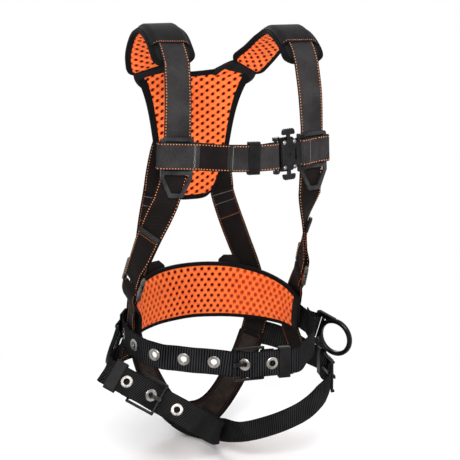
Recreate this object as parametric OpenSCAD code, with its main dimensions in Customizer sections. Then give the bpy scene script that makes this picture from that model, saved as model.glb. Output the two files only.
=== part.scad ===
// Full-body work harness with a waist belt, in the shape it has when worn and buckled.
// Millimetres. +Z is up, the wearer faces -Y, +X is the wearer's left. Z = 0 is the belt line.

/* [Webbing] */
// width of all the webbing
web_w = 45; // [40:0.5:48]
// thickness of one layer of webbing
web_t = 2.4; // [1.8:0.1:3]
// space between two layers of webbing that lie on each other
ply_gap = 0.5; // [0.3:0.1:0.8]
// space beside the webbing in a slot or a keeper
slot_clear = 2; // [1.5:0.5:4]
// number of short straight pieces in each span of a strap
span_steps = 5; // [3:1:8]

/* [Pads] */
// thickness of the back pad at its middle
back_pad_t = 14; // [10:1:15]
// thickness of the shoulder pads at their middle
shoulder_pad_t = 12; // [8:1:14]
// width of the shoulder pads
shoulder_pad_w = 74; // [66:1:80]
// thickness of the waist pad at its middle
waist_pad_t = 14; // [10:1:15]
// height of the waist pad at the back
waist_pad_h = 103; // [90:1:112]
// thickness of the bound edge of a pad
bound_t = 4; // [3:0.5:5]
// thickness of the shoulder covers
cover_t = 2.4; // [1.6:0.1:3]
// thickness of the seat sling at its middle
sling_t = 6; // [4:0.5:8]

/* [Buckles] */
// diameter of the steel bars that webbing turns round
bar_d = 5; // [4:0.5:5]
// space between a bar and the webbing round it
bar_clear = 0.5; // [0.4:0.1:0.8]
// distance between the two bars of a tongue buckle
buckle_len = 49; // [47:1:52]
// thickness of a buckle tongue
tongue_t = 3.4; // [2.8:0.2:3.6]
// width of a buckle tongue
tongue_w = 6; // [5:0.5:7]
// inner diameter of the grommets
grommet_id = 11; // [10.5:0.5:12]
// outer diameter of the grommets
grommet_od = 22; // [20:0.5:24]
// length of a keeper along the strap
keeper_len = 20; // [14:1:24]
// wall of a keeper
keeper_wall = 2.6; // [2:0.2:3.4]
// space between a keeper and the layers of webbing in it
keeper_gap = 0.4; // [0.3:0.1:0.6]

/* [Rings] */
// inner diameter of the side rings
side_eye_d = 54; // [48:1:58]
// inner diameter of the ring on the back
dorsal_eye_d = 54; // [48:1:58]
// width of the metal round a ring's eye
ring_wall = 8; // [6:0.5:9]
// thickness of a ring
ring_t = 8; // [6:0.5:8]
// thickness of the chest rings
chest_ring_t = 5; // [4:0.5:6]

/* [Hidden] */
$fn = 24;
loop_r = bar_d / 2 + bar_clear + web_t / 2;
ply = web_t + ply_gap;
slot_w = web_w + 2 * slot_clear;
chest_front = web_t / 2 + 0.4 + chest_ring_t + ply_gap + web_t / 2;
chest_mid = (chest_front - ply) / 2;
chest_loop_r = (chest_front + ply) / 2;
ring_half = web_w / 2 + 3.8;

// Curves and sweeps. A path point is [x, y, z, nx, ny, nz] with the outward normal of the webbing,
// and for a pad also [.., width, thickness].
function unit(v) = v / norm(v);
function pos(p) = [p[0], p[1], p[2]];
function nrm(p) = unit([p[3], p[4], p[5]]);
function flip(p) = [-p[0], p[1], p[2], -p[3], p[4], p[5]];
function flip_all(P) = [for (p = P) len(p) > 6 ? concat(flip(p), [p[6], p[7]]) : flip(p)];
function side(P, s) = s > 0 ? P : flip_all(P);
function reverse(P) = [for (i = [len(P) - 1 : -1 : 0]) P[i]];
function turned(P) = [for (p = P) [p[0], p[1], p[2], -p[3], -p[4], -p[5]]];
function near(P, i) = P[max(0, min(len(P) - 1, i))];
function blend4(a, b, c, d, t) =
    0.5 * (2 * b + (c - a) * t + (2 * a - 5 * b + 4 * c - d) * t * t + (3 * b - a - 3 * c + d) * t * t * t);
function smooth(P, k) = concat(
    [for (i = [0 : len(P) - 2]) for (j = [0 : k - 1])
        blend4(near(P, i - 1), P[i], P[i + 1], near(P, i + 2), j / k)],
    [P[len(P) - 1]]);
function lift(P, d) = [for (p = P) concat(pos(p) + nrm(p) * d, nrm(p))];
function cut_path(P, a, b) = [for (i = [a : b]) P[i]];
function heading(P, i) = unit(
    (i > 0 ? unit(pos(P[i]) - pos(P[i - 1])) : [0, 0, 0])
    + (i < len(P) - 1 ? unit(pos(P[i + 1]) - pos(P[i])) : [0, 0, 0]));
function square(n, t) = unit(n - t * (n * t));

// A frame is [origin, along, outward]; local x runs along the webbing, y across it, z outward.
function frame(o, d, n) = [o, unit(d), square(unit(n), unit(d))];
function on(F, s, q) = concat(F[0] + F[1] * s + F[2] * q, F[2]);
function arc(F, s, q, r, a0, a1, sg, k) = [for (i = [0 : k])
    let (a = a0 + (a1 - a0) * i / k, v = F[2] * cos(a) + F[1] * sin(a))
    concat(F[0] + F[1] * s + F[2] * q + v * r, v * sg)];

// A knot is [frame, half]: the strap runs straight for half to both sides of the frame's origin.
function slid(F, s, q) = [F[0] + F[1] * s + F[2] * q, F[1], F[2]];
function knot(P, i, half) = [frame(pos(P[i]), pos(near(P, i + 1)) - pos(near(P, i - 1)), nrm(P[i])), half];
function bend(A, B, t) = let (L = norm(B[0] - A[0]), a = t * t * (3 - 2 * t))
    concat(A[0] * (1 - a) + B[0] * a + (A[1] * t * (1 - t) * (1 - t) - B[1] * t * t * (1 - t)) * L,
        A[2] * (1 - t) + B[2] * t);
function through(K, k) = [for (i = [0 : len(K) - 1]) each concat(
    K[i][1] > 0 ? [on(K[i][0], -K[i][1], 0)] : [],
    [on(K[i][0], K[i][1], 0)],
    i < len(K) - 1 ? [for (j = [1 : k - 1])
        bend(slid(K[i][0], K[i][1], 0), slid(K[i + 1][0], -K[i + 1][1], 0), j / k)] : [])];

module rounded(a, b, r) {
    square([a - 2 * r, b], center = true);
    square([a, b - 2 * r], center = true);
    for (x = [-1, 1]) for (y = [-1, 1]) translate([x * (a / 2 - r), y * (b / 2 - r)]) circle(r = r);
}

module place(F) {
    b = cross(F[2], F[1]);
    multmatrix([
        [F[1][0], b[0], F[2][0], F[0][0]],
        [F[1][1], b[1], F[2][1], F[0][1]],
        [F[1][2], b[2], F[2][2], F[0][2]],
        [0, 0, 0, 1]]) children();
}

// A crossed sweep has a point in the middle of each face, so that twisted layers stay parallel.
module sweep(P, section, w, t, crossed = false) {
    m = len(section);
    L = len(P);
    pts = [for (i = [0 : L - 1])
        let (d = heading(P, i), n = square(nrm(P[i]), d), b = cross(d, n),
            hw = (len(P[i]) > 6 ? P[i][6] : w) / 2, ht = (len(P[i]) > 7 ? P[i][7] : t) / 2)
        for (c = section) pos(P[i]) + b * c[0] * hw + n * c[1] * ht];
    sides = [for (i = [0 : L - 2]) for (j = [0 : m - 1])
        let (a = i * m + j, b = i * m + (j + 1) % m, c = L * m + i * m + j)
        each crossed ? [[a, b, c], [b, b + m, c], [b + m, a + m, c], [a + m, a, c]] : [[a, b, a + m], [b, b + m, a + m]]];
    mids = [for (i = [0 : L - 2]) for (j = [0 : m - 1]) let (a = i * m + j, b = i * m + (j + 1) % m)
        (pts[a] + pts[b] + pts[a + m] + pts[b + m]) / 4];
    first = [for (j = [1 : m - 2]) [0, j + 1, j]];
    last = [for (j = [1 : m - 2]) [(L - 1) * m, (L - 1) * m + j, (L - 1) * m + j + 1]];
    polyhedron(points = crossed ? concat(pts, mids) : pts, faces = concat(sides, first, last), convexity = 8);
}

flat_section = [[-1, -1], [1, -1], [1, 1], [-1, 1]];

// A crowned pad with edges drawn in to the bound thickness; e is edge thickness over full thickness.
function pad_section(e) = [
    [-1, -e], [-0.93, -e], [-0.8, -0.8], [-0.5, -0.95], [0, -1], [0.5, -0.95], [0.8, -0.8], [0.93, -e], [1, -e],
    [1, e], [0.93, e], [0.8, 0.8], [0.5, 0.95], [0, 1], [-0.5, 0.95], [-0.8, 0.8], [-0.93, e], [-1, e]];

module web(P, crossed = false) {
    sweep(P, flat_section, web_w, web_t, crossed);
}

module pad(P, t) {
    sweep(P, pad_section(bound_t / t), 1, 1);
}

// Back pad: rows from the rounded foot to the neck, across from -1 to 1.
back_rows = 14;
back_cols = 14;
function back_half(v) = 66 + 22 * pow(v, 1.4) + 16 * pow(v, 5) - 26 * pow(1 - v, 6);
function back_low(u) = 214 + 14 * pow(u, 4);
function back_high(u) = 446 + 14 * pow(abs(u), 1.6) - 26 * pow(abs(u), 6);
function back_x(u, v) = u * back_half(v);
function back_z(u, v) = back_low(u) + (back_high(u) - back_low(u)) * v;
function back_y(u, v) = 135 - 9 * pow(u, 2) * (0.4 + v) - 14 * pow(v, 4) * pow(abs(u), 1.5);
function back_thick(u, v) = bound_t + (back_pad_t - bound_t)
    * pow(max(0, 1 - pow(abs(u), 6)), 0.7) * pow(max(0, 1 - pow(abs(2 * v - 1), 8)), 0.7);

module back_pad() {
    R = back_rows;
    C = back_cols;
    W = C + 1;
    N = (R + 1) * W;
    us = [for (j = [0 : C]) let (a = 2 * j / C - 1) sign(a) * pow(abs(a), 0.7)];
    vs = [for (i = [0 : R]) let (a = 2 * i / R - 1) 0.5 + 0.5 * sign(a) * pow(abs(a), 0.75)];
    half = [for (s = [-1, 1]) for (v = vs) for (u = us)
        [back_x(u, v), back_y(u, v) + s * back_thick(u, v) / 2, back_z(u, v)]];
    front = [for (i = [0 : R - 1]) for (j = [0 : C - 1]) let (a = i * W + j)
        each [[a, a + W, a + 1], [a + 1, a + W, a + W + 1]]];
    rear = [for (f = front) [f[0] + N, f[2] + N, f[1] + N]];
    rim = concat([for (j = [0 : C]) j], [for (i = [1 : R]) i * W + C],
        [for (j = [C - 1 : -1 : 0]) R * W + j], [for (i = [R - 1 : -1 : 1]) i * W]);
    edge = [for (k = [0 : len(rim) - 1]) let (a = rim[k], b = rim[(k + 1) % len(rim)])
        each [[a, b, a + N], [b, b + N, a + N]]];
    color("darkorange") polyhedron(points = half, faces = concat(front, rear, edge), convexity = 6);
}

// Lines of the middle of the shoulder pads, from the front end over the shoulder to the back seam.
shoulder_line_left = [
    [120, -93, 477, 0, -0.9, 0.45],
    [120, -77, 499, 0, -0.68, 0.72],
    [121, -42, 518, 0, -0.3, 0.95],
    [125, 2, 524, 0, 0.05, 1],
    [125, 46, 511, 0.02, 0.45, 0.9],
    [114, 86, 480, 0.04, 0.75, 0.65],
    [94, 113, 451, 0.05, 0.88, 0.45]];
shoulder_line_right = [
    [-110, -93, 482, 0, -0.9, 0.45],
    [-111, -77, 504, 0, -0.68, 0.72],
    [-109, -42, 525, 0, -0.3, 0.95],
    [-107, 2, 532, 0, 0.05, 1],
    [-104, 46, 519, -0.02, 0.45, 0.9],
    [-99.5, 86, 487, -0.04, 0.75, 0.65],
    [-88, 113, 452, -0.05, 0.88, 0.45]];
over_left = smooth(shoulder_line_left, span_steps);
over_right = smooth(shoulder_line_right, span_steps);
shoulder_n = len(over_left);
shoulder_up = shoulder_pad_t / 2 + ply_gap + web_t / 2;

function pad_end(i, n) = min(1, (min(i, n - 1 - i) + 0.5) / 2.5);

module shoulder_pad(over) {
    P = [for (i = [0 : shoulder_n - 1]) let (e = pad_end(i, shoulder_n))
        concat(over[i], [shoulder_pad_w * (0.84 + 0.16 * e),
            bound_t + (shoulder_pad_t - bound_t) * e])];
    color("darkorange") pad(P, shoulder_pad_t);
}

module shoulder_cover(over) {
    P = lift(cut_path(over, 1, shoulder_n - 3), shoulder_up + web_t / 2 + 0.4 + cover_t / 2);
    color("dimgray") sweep(P, flat_section, shoulder_pad_w - 6, cover_t);
}

// Chest rings: the shoulder strap runs behind the ring, the chest strap goes round both.
chest_left = frame([122, -120, 335], [-0.985, -0.17, -0.04], [0.17, -0.985, 0]);
chest_right = frame([-119, -120, 338], [0.985, -0.17, -0.05], [-0.17, -0.985, 0]);

// The shoulder strap lies flat behind the ring.
function behind(F, s, z) = concat(F[0] + unit([F[1][0], F[1][1], 0]) * s + [0, 0, z], F[2]);

// Ring: a square window for the chest strap over a window that narrows to the foot.
module chest_ring(F) {
    h = slot_w / 2;
    w = ring_half;
    place(F) rotate([0, 0, F[1][0] > 0 ? 0 : 180]) translate([0, 0, web_t / 2 + 0.4]) linear_extrude(chest_ring_t)
        difference() {
            union() {
                polygon([[-w + 5, h + 6], [w - 5, h + 6], [w, h + 1], [w, -h - 12], [w - 1.5, -h - 15],
                    [12, -h - 43], [9, -h - 44], [-9, -h - 44], [-12, -h - 43], [1.5 - w, -h - 15], [-w, -h - 12], [-w, h + 1]]);
                for (x = [-1, 1]) translate([x * (w - 5), h + 1]) circle(r = 5);
            }
            rounded_window(w - 5.5, h);
            polygon([[6 - w, -h - 7.5], [7.5 - w, -h - 6], [w - 7.5, -h - 6], [w - 6, -h - 7.5], [w - 6, -h - 11],
                [8, -h - 36], [6, -h - 37], [-6, -h - 37], [-8, -h - 36], [6 - w, -h - 11]]);
        }
}

module rounded_window(w, h) {
    rounded(2 * w, 2 * h, 1.4);
}

// Torso straps and their adjusters.
adjust_right = frame([-176, -62, 124], [-0.07, 0.51, -0.857], [-0.98, -0.18, -0.03]);
adjust_left = frame([129, -72, 126], [0.16, 0.62, -0.76], [0.97, -0.2, 0.05]);

// From the adjuster up the front to the chest ring, and on from the ring to the shoulder.
front_right = [
    [-170.5, -84, 162, -0.95, -0.4, 0],
    [-157, -103, 212, -0.75, -0.66, 0]];
ring_run_right = [for (p = [[-19, -76], [-6, -36], [0, 0], [2, 38]]) behind(chest_right, p[0], p[1])];
neck_right = [-113.5, -114, 432, -0.04, -0.97, 0.2];
front_left = [
    [120.5, -94, 160, 0.95, -0.3, 0.1],
    [119, -106, 207, 0.8, -0.6, 0]];
ring_run_left = [for (p = [[3, -76], [1, -36], [0, 0], [0, 38]]) behind(chest_left, p[0], p[1])];
neck_left = [121, -114, 430, 0.04, -0.97, 0.2];

// From the back seam across the middle of the back to the other side's back strap (left shoulder).
back_cross_left = [
    [60, 142.5, 430, 0.02, 1, 0.1],
    [22, 146.6, 405, 0, 1, 0],
    [-16, 146.6, 372, 0, 1, 0],
    [-46, 146, 320, -0.05, 1, 0],
    [-60, 146, 270, -0.08, 1, 0],
    [-66, 146.5, 226, -0.08, 1, 0]];
back_cross_right = [
    [-60, 142.5, 430, -0.02, 1, 0.1],
    [-22, 143.7, 405, 0, 1, 0],
    [16, 143.7, 372, 0, 1, 0],
    [46, 146, 320, 0.05, 1, 0],
    [60, 146, 270, 0.08, 1, 0],
    [66, 146.5, 226, 0.08, 1, 0]];

module shoulder_strap(F, front, run, neck, over, cross_back) {
    ridge = lift(over, shoulder_up);
    low = concat(smooth(concat(front, [run[0]]), span_steps), [run[1], run[2]],
        smooth([run[3], neck, ridge[0]], span_steps));
    turn = smooth(concat([ridge[shoulder_n - 1 - span_steps], ridge[shoulder_n - 1]], cross_back), span_steps);
    down = cut_path(turn, span_steps, len(turn) - 1);
    tail = lift(cut_path(low, 1, span_steps), ply + 0.8);
    P = concat(reverse(tail), [on(F, -28, loop_r - 0.4), on(F, -14, loop_r)], arc(F, 0, 0, loop_r, 0, 180, 1, 8),
        turned(concat([on(F, -14, -loop_r), on(F, -28, 0.4 - loop_r)], cut_path(low, 0, len(low) - 2),
        cut_path(ridge, 0, shoulder_n - 2), down)));
    color("dimgray") web(P, true);
}

// Adjuster: two side rails with a long slot for the sliding bar, a flat head bar and a round foot bar.
adjust_head = -21;
adjust_foot = 22;
adjust_rail = 5;
adjust_slide = 6;
bar_tab = bar_d - 1;
tab_t = 2.8;

module stadium(a, b, h) {
    translate([(a + b) / 2, 0]) square([b - a, h], center = true);
    translate([a, 0]) circle(d = h);
    translate([b, 0]) circle(d = h);
}

module torso_adjuster(F) {
    w = slot_w / 2;
    color("dimgray") place(F) {
        for (y = [-1, 1]) translate([0, y * (w + adjust_rail / 2), 0]) rotate([90, 0, 0])
            linear_extrude(adjust_rail, center = true) difference() {
                stadium(adjust_head, adjust_foot, bar_d + 1.5);
                stadium(-adjust_slide - bar_tab / 2 - 1, bar_tab / 2, tab_t + 0.8);
            }
        translate([adjust_head - 1, 0, 0]) linear_extrude(3.6, center = true) difference() {
            rounded(6, 2 * w + 4, 1.5);
            for (y = [-1, 1]) translate([3.4, y * w * 0.5]) circle(r = 1.6);
        }
        translate([adjust_foot, 0, 0]) rotate([90, 0, 0]) cylinder(d = bar_d, h = 2 * w + 2, center = true);
    }
}

// The sliding bar: round between the rails, with flat ends in their slots.
module torso_adjuster_bar(F) {
    w = slot_w / 2;
    color("silver") place(F) {
        rotate([90, 0, 0]) cylinder(d = bar_d, h = 2 * w - 0.8, center = true);
        linear_extrude(tab_t, center = true) rounded(bar_tab, 2 * (w + adjust_rail) - 4, 1);
    }
}

// Straps from the adjusters to the hips, under the belt, round to the leg buckles.
hip_line_right = [
    [-174, -34, 76, -0.98, -0.15, 0],
    [-162.5, -4, 46, -0.97, -0.05, 0.2],
    [-159.2, 12, 16, -1, 0.03, 0.05],
    [-159.2, 21, -16, -1, 0.06, -0.05],
    [-169, 26, -36, -0.9, 0.3, 0.1],
    [-182.8, 26.3, -64, -0.84, 0.54, 0.04]];
hip_line_left = [
    [140, -36, 94, 0.93, -0.3, 0.2],
    [153, 0, 72, 0.97, -0.05, 0.25],
    [158.5, 24, 46, 0.97, 0.2, 0.15],
    [156.5, 36, 10, 0.94, 0.33, 0],
    [156.5, 36, -18, 0.94, 0.33, -0.05],
    [166, 37, -46, 0.9, 0.36, 0.1],
    [182, 40.4, -82, 0.9, 0.42, 0.1]];

module hip_strap(F, line) {
    low = smooth(line, span_steps);
    G = [F[0] + F[1] * adjust_foot, -F[1], F[2]];
    P = concat(turned(reverse([on(F, 34, -loop_r), on(F, 44, -loop_r - 0.2)])), reverse(arc(G, 0, 0, loop_r, 0, 180, 1, 8)),
        [on(F, 36, loop_r - 2)], low);
    color("dimgray") web(P);
}

// Straps from the foot of the back pad to the seat sling, outside the belt.
back_line = [
    [60.5, 149.2, 262, 0.08, 1, 0],
    [66.5, 149.6, 224, 0.08, 1, 0],
    [78, 145, 182, 0.2, 0.98, 0.05],
    [94, 134, 130, 0.45, 0.9, 0.1],
    [110, 121, 78, 0.6, 0.8, 0.1],
    [120, 114, 30, 0.64, 0.77, 0],
    [121, 113, -12, 0.64, 0.77, 0],
    [114, 116, -48, 0.6, 0.78, -0.15]];

module back_strap(s) {
    color("dimgray") web(side(smooth(back_line, span_steps), s));
}

// Waist pad round the back, open at the front.
waist_line = [
    [150, -14, 16, 1, -0.06, 0, 62, 8],
    [150, 10, 19, 1, 0.06, 0, 70, 12],
    [142, 44, 26, 0.92, 0.38, 0, 80, 14],
    [118, 82, 33, 0.74, 0.67, 0, 92, 14],
    [78, 112, 39, 0.45, 0.9, 0, 100, 14],
    [40, 125, 42, 0.2, 0.98, 0, 103, 14],
    [0, 130, 43, 0, 1, 0, 103, 14]];
function both_sides(P) = concat(P, reverse(flip_all(cut_path(P, 0, len(P) - 2))));
waist_path = smooth(both_sides(waist_line), 4);

module waist_pad() {
    k = waist_pad_h / 103;
    f = waist_pad_t / 14;
    P = [for (p = waist_path) concat(pos(p), [p[3], p[4], p[5], p[6] * k, p[7] * f])];
    color("darkorange") pad(P, waist_pad_t);
}

// Belt. Grommets sit at 50 mm steps; z falls to the front with the belt's tilt.
function belt_z(y) = 0.16 * y;
function belt_at(x, y, nx, ny) = [x, y, belt_z(y), nx, ny, 0];
belt_buckle = frame([-7, -138, belt_z(-138)], [0.995, -0.1, 0], [-0.1, -0.995, 0]);
belt_tip = [
    belt_at(34, 146.4, 0.1, 1),
    belt_at(0, 147.2, 0, 1),
    belt_at(-40, 143.4, -0.2, 0.98),
    belt_at(-80, 130, -0.42, 0.9),
    belt_at(-122, 102, -0.65, 0.76),
    belt_at(-152, 68, -0.87, 0.5),
    belt_at(-165, 28, -0.98, 0.18),
    belt_at(-163, -20, -0.97, -0.2),
    belt_at(-142, -65, -0.75, -0.66),
    belt_at(-100, -94, -0.5, -0.87),
    belt_at(-54, -117, -0.42, -0.9)];
belt_back = [
    belt_at(114, -121, 0.55, -0.83),
    belt_at(148, -85, 0.82, -0.57),
    belt_at(168, -20, 0.99, -0.14),
    belt_at(169.5, 12, 1, 0.05),
    belt_at(165.5, 36, 0.96, 0.28),
    belt_at(153, 66, 0.87, 0.5),
    belt_at(122, 102, 0.65, 0.76),
    belt_at(80, 130, 0.42, 0.9),
    belt_at(40, 142.4, 0.15, 0.98),
    belt_at(0, 144.2, 0, 1),
    belt_at(-34, 141.4, -0.14, 0.99)];

// A tongue buckle sits on a frame at the tongue's grommet. The free bar is at s = buckle_free, the fixed bar
// at buckle_fix; the strap goes under the free bar, up to the tongue and over the fixed bar.
buckle_free = -16;
buckle_fix = buckle_free + buckle_len;
free_q = -1.4;
under_q = free_q - bar_d / 2 - ply_gap - web_t / 2;
rise_s = grommet_od / 2 - 1.4;
rise_q = rise_s * 0.72;
over_q = loop_r + ply + 0.6;
lap_q = loop_r - 1.2;
tip_q = lap_q + web_t + 1.8;
tip_s = buckle_fix + 14;
keep_s = tip_s + grommet_od / 2 + 1 + keeper_len / 2;
flat_half = grommet_od / 2 + 1;

function buckle_entry(F) = slid(F, -17, under_q);
function buckle_run(F) = [on(F, -rise_s, 1.2 - rise_q), on(F, rise_s, 1.2 + rise_q),
    on(F, rise_s + 7, over_q + 0.4), on(F, buckle_fix, over_q), on(F, buckle_fix + 2.5, tip_q + 0.2),
    on(F, buckle_fix + 4, tip_q), on(F, keep_s + keeper_len / 2 + 6, tip_q)];
function buckle_hole(F) = frame(F[0] + F[2] * 1.2, F[1] * rise_s + F[2] * rise_q, F[2]);

// The loop round the fixed bar, from the short inner layer to the outer layer under the tip.
function buckle_loop(F, inner) = concat(
    turned(reverse([on(F, buckle_fix + 10, 0.4 - loop_r), on(F, buckle_fix + inner, 0.8 - loop_r)])),
    reverse(arc([F[0] + F[1] * buckle_fix, -F[1], F[2]], 0, 0, loop_r, 0, 180, 1, 8)),
    [on(F, buckle_fix + 9, lap_q + 0.4)]);
function buckle_lap(F) = [slid(F, buckle_fix + 35, lap_q), 19];

belt_rows = concat(belt_tip, [concat(buckle_entry(belt_buckle)[0], belt_buckle[2])]);
belt_holes = concat([for (i = [6 : 10]) knot(belt_rows, i, 0)[0]],
    [buckle_hole(belt_buckle), slid(belt_buckle, tip_s, tip_q)]);

module belt_right() {
    K = concat([for (i = [0 : 10]) knot(belt_rows, i, i < 6 ? 0 : flat_half)], [[buckle_entry(belt_buckle), 0]]);
    color("dimgray") difference() {
        web(concat(through(K, span_steps), buckle_run(belt_buckle)));
        for (F = belt_holes) place(F) cylinder(d = grommet_id + 2.4, h = 9, center = true);
    }
}

module belt_left() {
    K = concat([buckle_lap(belt_buckle)], [for (i = [0 : len(belt_back) - 1]) knot(belt_back, i, i == 2 ? 14 : 0)]);
    color("dimgray") difference() {
        web(concat(buckle_loop(belt_buckle, 20), through(K, span_steps)));
        tongue_gap(belt_buckle);
    }
}

// Opening in a buckle loop for the tongue.
module tongue_gap(F) {
    place(F) translate([buckle_fix, 0, 0]) cube([20, tongue_w + 5, 13], center = true);
}

module grommet() {
    h = web_t / 2;
    r = grommet_od / 2;
    i = grommet_id / 2;
    rotate_extrude($fn = 20) polygon([[i, -h - 1.4], [r - 3, -h - 1.4], [r - 3, -h - 0.8], [i + 0.9, -h - 0.8],
        [i + 0.9, h + 0.3], [r, h + 0.3], [r - 1.4, h + 1.1], [i, h + 1.1]]);
}

module belt_grommets() {
    color("silver") for (F = belt_holes) place(F) grommet();
}

// Tongue buckle: a rounded frame with a free bar over the webbing and a fixed bar in the webbing loop.
module buckle_frame(F) {
    w = slot_w / 2 + bar_d / 2;
    lean = atan(free_q / buckle_len);
    color("dimgray") place(F) {
        translate([buckle_fix, 0, 0]) rotate([90, 0, 0]) cylinder(d = bar_d - 0.4, h = 2 * w, center = true);
        translate([buckle_free, 0, free_q]) rotate([90, 0, 0]) cylinder(d = bar_d, h = 2 * w, center = true);
        for (y = [-w, w]) {
            translate([buckle_fix, y, 0]) sphere(d = bar_d, $fn = 16);
            translate([buckle_free, y, free_q]) sphere(d = bar_d, $fn = 16);
            translate([buckle_fix, y, 0]) rotate([0, -90 - lean, 0]) cylinder(d = bar_d, h = buckle_len, $fn = 16);
        }
    }
}

// The tongue turns on the fixed bar, goes up through a grommet and rests on the free bar.
module buckle_tongue(F) {
    e = bar_d / 2 + 2.4;
    rest = free_q + bar_d / 2 + 0.4;
    tip = buckle_free - bar_d / 2 - 1;
    color("silver") place(F) rotate([90, 0, 0]) difference() {
        union() {
            translate([buckle_fix, 0, 0]) cylinder(r = e, h = tongue_w, center = true);
            linear_extrude(tongue_w, center = true)
                polygon([[buckle_fix - 3, -3.4], [20, 0.4 - tongue_t], [5, 0.4 - tongue_t], [-3.5, rest - 0.4],
                    [tip, rest + 0.2], [tip, rest + tongue_t - 0.6], [-3.5, rest - 0.4 + tongue_t], [5, 0.4], [20, 0.4],
                    [buckle_fix - 3, 3.4]]);
        }
        translate([buckle_fix, 0, 0]) cylinder(d = bar_d + 0.2, h = tongue_w + 2, center = true);
    }
}

// A keeper is a closed band round the layers of webbing; q is the middle of the layers.
module keeper(F, s, q, rise, name) {
    h = rise + web_t + 2 * keeper_gap;
    color(name) place(F) translate([s, 0, q]) rotate([90, 0, 90]) linear_extrude(keeper_len, center = true) difference() {
        rounded(slot_w + 2 * keeper_wall, h + 2 * keeper_wall, keeper_wall);
        rounded(slot_w, h, keeper_gap);
    }
}

// Belt loops: webbing folded over the top of the waist pad and down over the belt.
loop_line = [
    [71.6, 124.3, 30, -0.42, -0.9, 0],
    [71.6, 124.3, 60, -0.42, -0.9, 0],
    [70.8, 124.8, 90, -0.42, -0.9, 0.1],
    [71.5, 126.6, 99, -0.3, -0.6, 0.7],
    [73, 130, 103, 0, 0, 1],
    [74.5, 133.2, 99, 0.3, 0.6, 0.7],
    [75.6, 135.7, 78, 0.42, 0.9, 0],
    [75.8, 136.2, 20, 0.42, 0.9, 0],
    [75.2, 134.8, -6, 0.42, 0.9, 0]];

module belt_loop(s) {
    P = side(loop_line, s);
    color("dimgray") sweep(P, flat_section, 40, 2);
}

// Side rings: a short strap sewn to the belt at both ends holds the ring's bar.
side_left = knot(belt_back, 2, 0)[0];
side_right = frame(pos(belt_tip[5]), [0, 0, -1], nrm(belt_tip[5]));
bar_up = web_t / 2 + ply_gap + ring_t / 2;
turn_left = -46;
droop = 14;
left_e = side_left[2] * cos(turn_left) + side_left[1] * sin(turn_left);
left_m = side_left[1] * cos(turn_left) - side_left[2] * sin(turn_left);
left_out = left_e * cos(droop) - cross(side_left[2], side_left[1]) * sin(droop);
bar_left = [slid(side_left, 0, bar_up + 6)[0], left_out * sin(turn_left) + left_m * cos(turn_left),
    left_out * cos(turn_left) - left_m * sin(turn_left)];
bar_right = slid(side_right, 0, bar_up + 0.3);
turn_right = 72;

module side_ring_loop(F, G, a, lead) {
    r = ring_t / 2 + bar_clear + web_t / 2;
    P = concat([for (p = lead) on(F, -p[0], p[1])],
        [for (t = [-a : a / 6 : a]) let (v = G[1] * sin(t) + G[2] * cos(t)) concat(G[0] + v * r, v)],
        reverse([for (p = lead) on(F, p[0], p[1])]));
    color("dimgray") web(P);
}

// Ring with a round eye: its bar is on local y, the eye lies along local x.
module eye_ring(d) {
    r = d / 2;
    k = ring_t / 2;
    c = k + 6 + ring_wall + r;
    w = slot_w / 2 + k;
    translate([c, 0, 0]) rotate_extrude($fn = 48) polygon([[r, -k + 1], [r + 1, -k], [r + ring_wall - 2, -k],
        [r + ring_wall, -k + 2], [r + ring_wall, k - 2], [r + ring_wall - 2, k], [r + 1, k], [r, k - 1]]);
    rotate([90, 0, 0]) cylinder(d = ring_t, h = 2 * w, center = true);
    for (y = [-1, 1]) {
        translate([0, y * w, 0]) sphere(d = ring_t, $fn = 16);
        translate([0, 0, -k + 1]) linear_extrude(2 * k - 2) polygon([[0, y * (w - 4)], [0, y * (w + 4)],
            [c - 10, y * (r + ring_wall - 1)], [c - 18, y * (r - 4)], [k + 6, y * (w - 4)]]);
    }
    translate([k + 6, -w, -k + 1]) cube([4, 2 * w, 2 * k - 2]);
}

module ring_at(G, turn, d) {
    color("black") place(G) rotate([0, -90 + turn, 0]) eye_ring(d);
}

// Seat sling from one back strap to the other, under the seat.
sling_line = [
    [113, 112, -44, 0.6, 0.78, -0.15, 47, 5],
    [100, 116, -83, 0.4, 0.85, -0.35, 47, 5.5],
    [82, 121, -123, 0.28, 0.85, -0.45, 47, 6],
    [56, 128, -168, 0.18, 0.85, -0.5, 48, 6],
    [30, 131, -194, 0.1, 0.85, -0.5, 52, 6],
    [0, 132, -203, 0, 0.85, -0.5, 56, 6]];
sling_path = smooth(both_sides(sling_line), 4);

module seat_sling() {
    f = sling_t / 6;
    P = [for (p = sling_path) concat(pos(p), [p[3], p[4], p[5], p[6] * web_w / 45, p[7] * f])];
    color("dimgray") pad(P, sling_t * 2);
}

// Leg straps: from the sling, under the crotch, up the front of the thigh and through the leg buckle.
leg_buckle_right = frame([-157, -89, -74], [-0.68, 0.625, 0.375], [-0.41, -0.74, 0.46]);
leg_buckle_left = frame([183, -80, -79], [0.15, 0.98, 0.05], [0.98, -0.15, 0.02]);
leg_inner = [
    [34, 118.6, -195, -0.15, 0.85, -0.5],
    [20, 99, -203, -0.6, 0.75, -0.3],
    [9, 60, -200, -1, 0.15, -0.1],
    [6, 12, -190, -1, 0, -0.1],
    [8, -28, -179, -0.92, -0.35, -0.1]];
leg_line_right = concat(flip_all(leg_inner), [
    [-22, -52, -172, 0.1, -1, -0.1],
    [-60, -82, -142, -0.3, -0.9, 0.2]]);
leg_line_left = concat(leg_inner, [
    [22, -72, -168, -0.1, -1, -0.1],
    [47, -92, -158, 0.05, -0.98, -0.15],
    [84, -110, -142, 0.1, -0.97, -0.15],
    [118, -119, -124, 0.2, -0.96, -0.1],
    [147, -118, -101, 0.5, -0.85, 0]]);

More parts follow.
